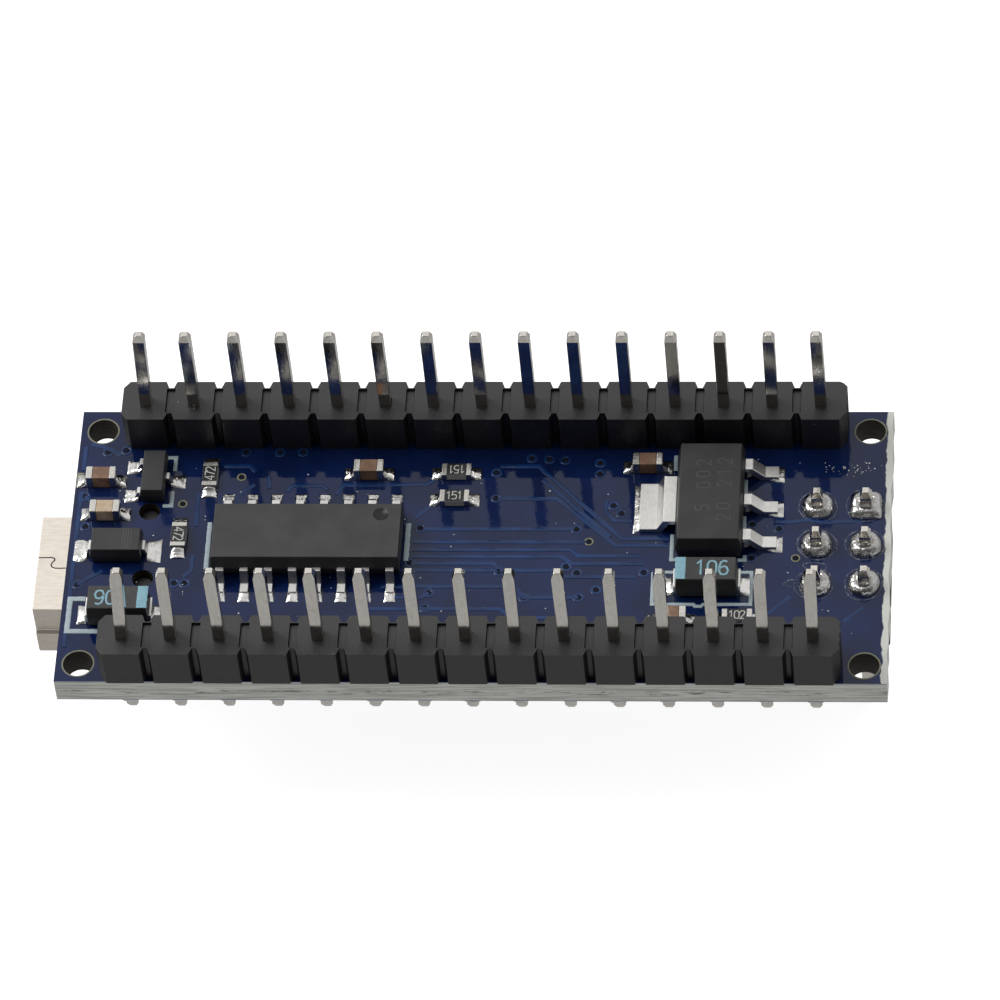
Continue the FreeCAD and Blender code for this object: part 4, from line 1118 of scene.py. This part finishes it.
class BOARD_OT_under_side(Operator):
    """Lays the tracks, vias and printed numbers of the under side"""
    bl_idname = "board.under_side"
    bl_label = "Under side"

    def execute(self, context):
        height = sizes().trace_height
        tracks = []
        for side in (-1, 1):
            for x in ROW_PLACES:
                if abs(x) < TRACKED_PINS:
                    path = [(x, side * 6.8), (x, side * 6.2), (0.5 + (x - 0.5) * 0.72, side * 5.5)]
                    tracks.append(ribbon(path, TRACK_WIDTH, height, UNDER, -1))
        on_board("under_tracks", tracks, "copper")
        vias("under_via", VIAS + BRIGHT_VIAS, height, UNDER, -1)
        ink = []
        for index, x in enumerate(ROW_PLACES):
            for side, number in ((-1, index + 1), (1, 2 * ROW_PINS - index)):
                if abs(x) < NUMBERED_PINS:
                    ink += lettering(str(number), x + 0.9, side * 6.3, UNDER, 0, 0.55, 0.42, 0.08, height, -1)
        for near_x, far_x, half in ((8.2, 11.6, 2.5), (12.4, 14.8, 4.1)):
            frame_line = [(near_x, -half), (near_x, half), (far_x, half), (far_x, -half), (near_x, -half)]
            ink.append(ribbon(frame_line, 0.14, height, UNDER, -1))
        on_board("under_outlines", ink, "ink")
        return {"FINISHED"}


FLOOR_HALF = 3.0
LAMP_SIDE = 0.26
LAMP_PLACE = (-0.30, 0.10, 0.36)
CAMERA_PLACE = (33.683, -224.995, 297.060)
CAMERA_RIGHT = (0.99621606, 0.0537374, -0.06830709)
CAMERA_DOWN = (0.00102259, -0.79313355, -0.6090469)
CAMERA_FORWARD = (-0.08690524, 0.60667245, -0.79018733)


class BOARD_OT_stage(Operator):
    """Sets the floor, the white tent, the light and the camera"""
    bl_idname = "board.stage"
    bl_label = "Studio"

    def execute(self, context):
        settings = context.scene.board_studio
        floor, light, camera = self.floor(), self.light(settings.key), self.camera(settings.lens)
        for made in (floor, light, camera):
            context.scene.collection.objects.link(made)
        context.scene.camera = camera
        self.tent(context, settings)
        context.scene.view_settings.view_transform = "Standard"
        return {"FINISHED"}

    def floor(self):
        """A square under the lowest pin, which neither lights the board nor shows in it."""
        corners = [(-1, -1), (1, -1), (1, 1), (-1, 1)]
        mesh = bpy.data.meshes.new("floor")
        points = [(x * FLOOR_HALF, y * FLOOR_HALF, CAD_BOX[0][2]) for x, y in corners]
        mesh.from_pydata(points, [], [(0, 1, 2, 3)])
        mesh.materials.append(finish("floor"))
        floor = bpy.data.objects.new("floor", mesh)
        floor.visible_glossy = False
        floor.visible_diffuse = False
        return floor

    def light(self, energy):
        """A soft square lamp, aimed at the middle of the board."""
        lamp = bpy.data.lights.new("overhead", "AREA")
        lamp.shape = "RECTANGLE"
        lamp.size = lamp.size_y = LAMP_SIDE
        lamp.energy = energy
        light = bpy.data.objects.new("overhead", lamp)
        light.location = LAMP_PLACE
        light.rotation_euler = (-light.location).to_track_quat("-Z", "Y").to_euler()
        return light

    def camera(self, lens):
        lens_data = bpy.data.cameras.new("camera")
        lens_data.lens = lens
        lens_data.sensor_width = 36.0
        lens_data.clip_start = 0.01
        lens_data.clip_end = 20.0
        camera = bpy.data.objects.new("camera", lens_data)
        axes = (Vector(CAMERA_RIGHT), -Vector(CAMERA_DOWN), -Vector(CAMERA_FORWARD))
        place = Matrix.Translation(Vector(CAMERA_PLACE) * MM)
        camera.matrix_world = place @ Matrix(axes).transposed().to_4x4()
        return camera

    def tent(self, context, settings):
        """A grey dome, dimmer towards -Y, with a white band at the horizon and a dimmer part below it."""
        graph = Graph("tent", "worlds")
        context.scene.world = graph.block
        look = graph.node("ShaderNodeTexCoord", output="Generated")
        across, up = (graph.node("ShaderNodeSeparateXYZ", inputs={0: look}, output=axis) for axis in "YZ")
        dome = across.ramp(-0.75, 0.35, settings.front, settings.tent)
        band = up.ramp(0.10, 0.30, settings.horizon, 0.0)
        under = up.ramp(-0.04, 0.0, 1.0, 0.0)
        brightness = graph.node("ShaderNodeMix", {"data_type": "FLOAT"},
                                {0: under, 2: dome.larger(band), 3: settings.below})
        background = graph.tree.nodes["Background"]
        graph.feed(background.inputs["Color"], (1.0, 1.0, 1.0))
        graph.feed(background.inputs["Strength"], brightness)


class BOARD_PT_panel(Panel):
    bl_idname = "BOARD_PT_panel"
    bl_label = "Board"
    bl_space_type = "VIEW_3D"
    bl_region_type = "UI"
    bl_category = "Board"

    def draw(self, context):
        for settings in (context.scene.board_sizes, context.scene.board_colours, context.scene.board_studio):
            for name in settings.__annotations__:
                self.layout.prop(settings, name)
        for operator in OPERATORS:
            self.layout.operator(operator.bl_idname)


OPERATORS = (BOARD_OT_stage, BOARD_OT_headers, BOARD_OT_moulded_pieces, BOARD_OT_copper, BOARD_OT_ink,
             BOARD_OT_solder, BOARD_OT_print, BOARD_OT_residue, BOARD_OT_under_side)
GROUPS = {"board_sizes": BoardSizes, "board_colours": BoardColours, "board_studio": StudioSettings}
CLASSES = tuple(GROUPS.values()) + OPERATORS + (BOARD_PT_panel,)


def register():
    for kind in CLASSES:
        bpy.utils.register_class(kind)
    for name, kind in GROUPS.items():
        setattr(bpy.types.Scene, name, PointerProperty(type=kind))


def unregister():
    for name in GROUPS:
        delattr(bpy.types.Scene, name)
    for kind in reversed(CLASSES):
        bpy.utils.unregister_class(kind)


def main():
    register()
    bpy.ops.board.stage()
    bpy.ops.board.headers()
    bpy.ops.board.moulded_pieces()
    bpy.ops.board.copper()
    bpy.ops.board.ink()
    bpy.ops.board.solder()
    bpy.ops.board.print_values()
    bpy.ops.board.residue()
    bpy.ops.board.under_side()


if __name__ == "__main__":
    main()
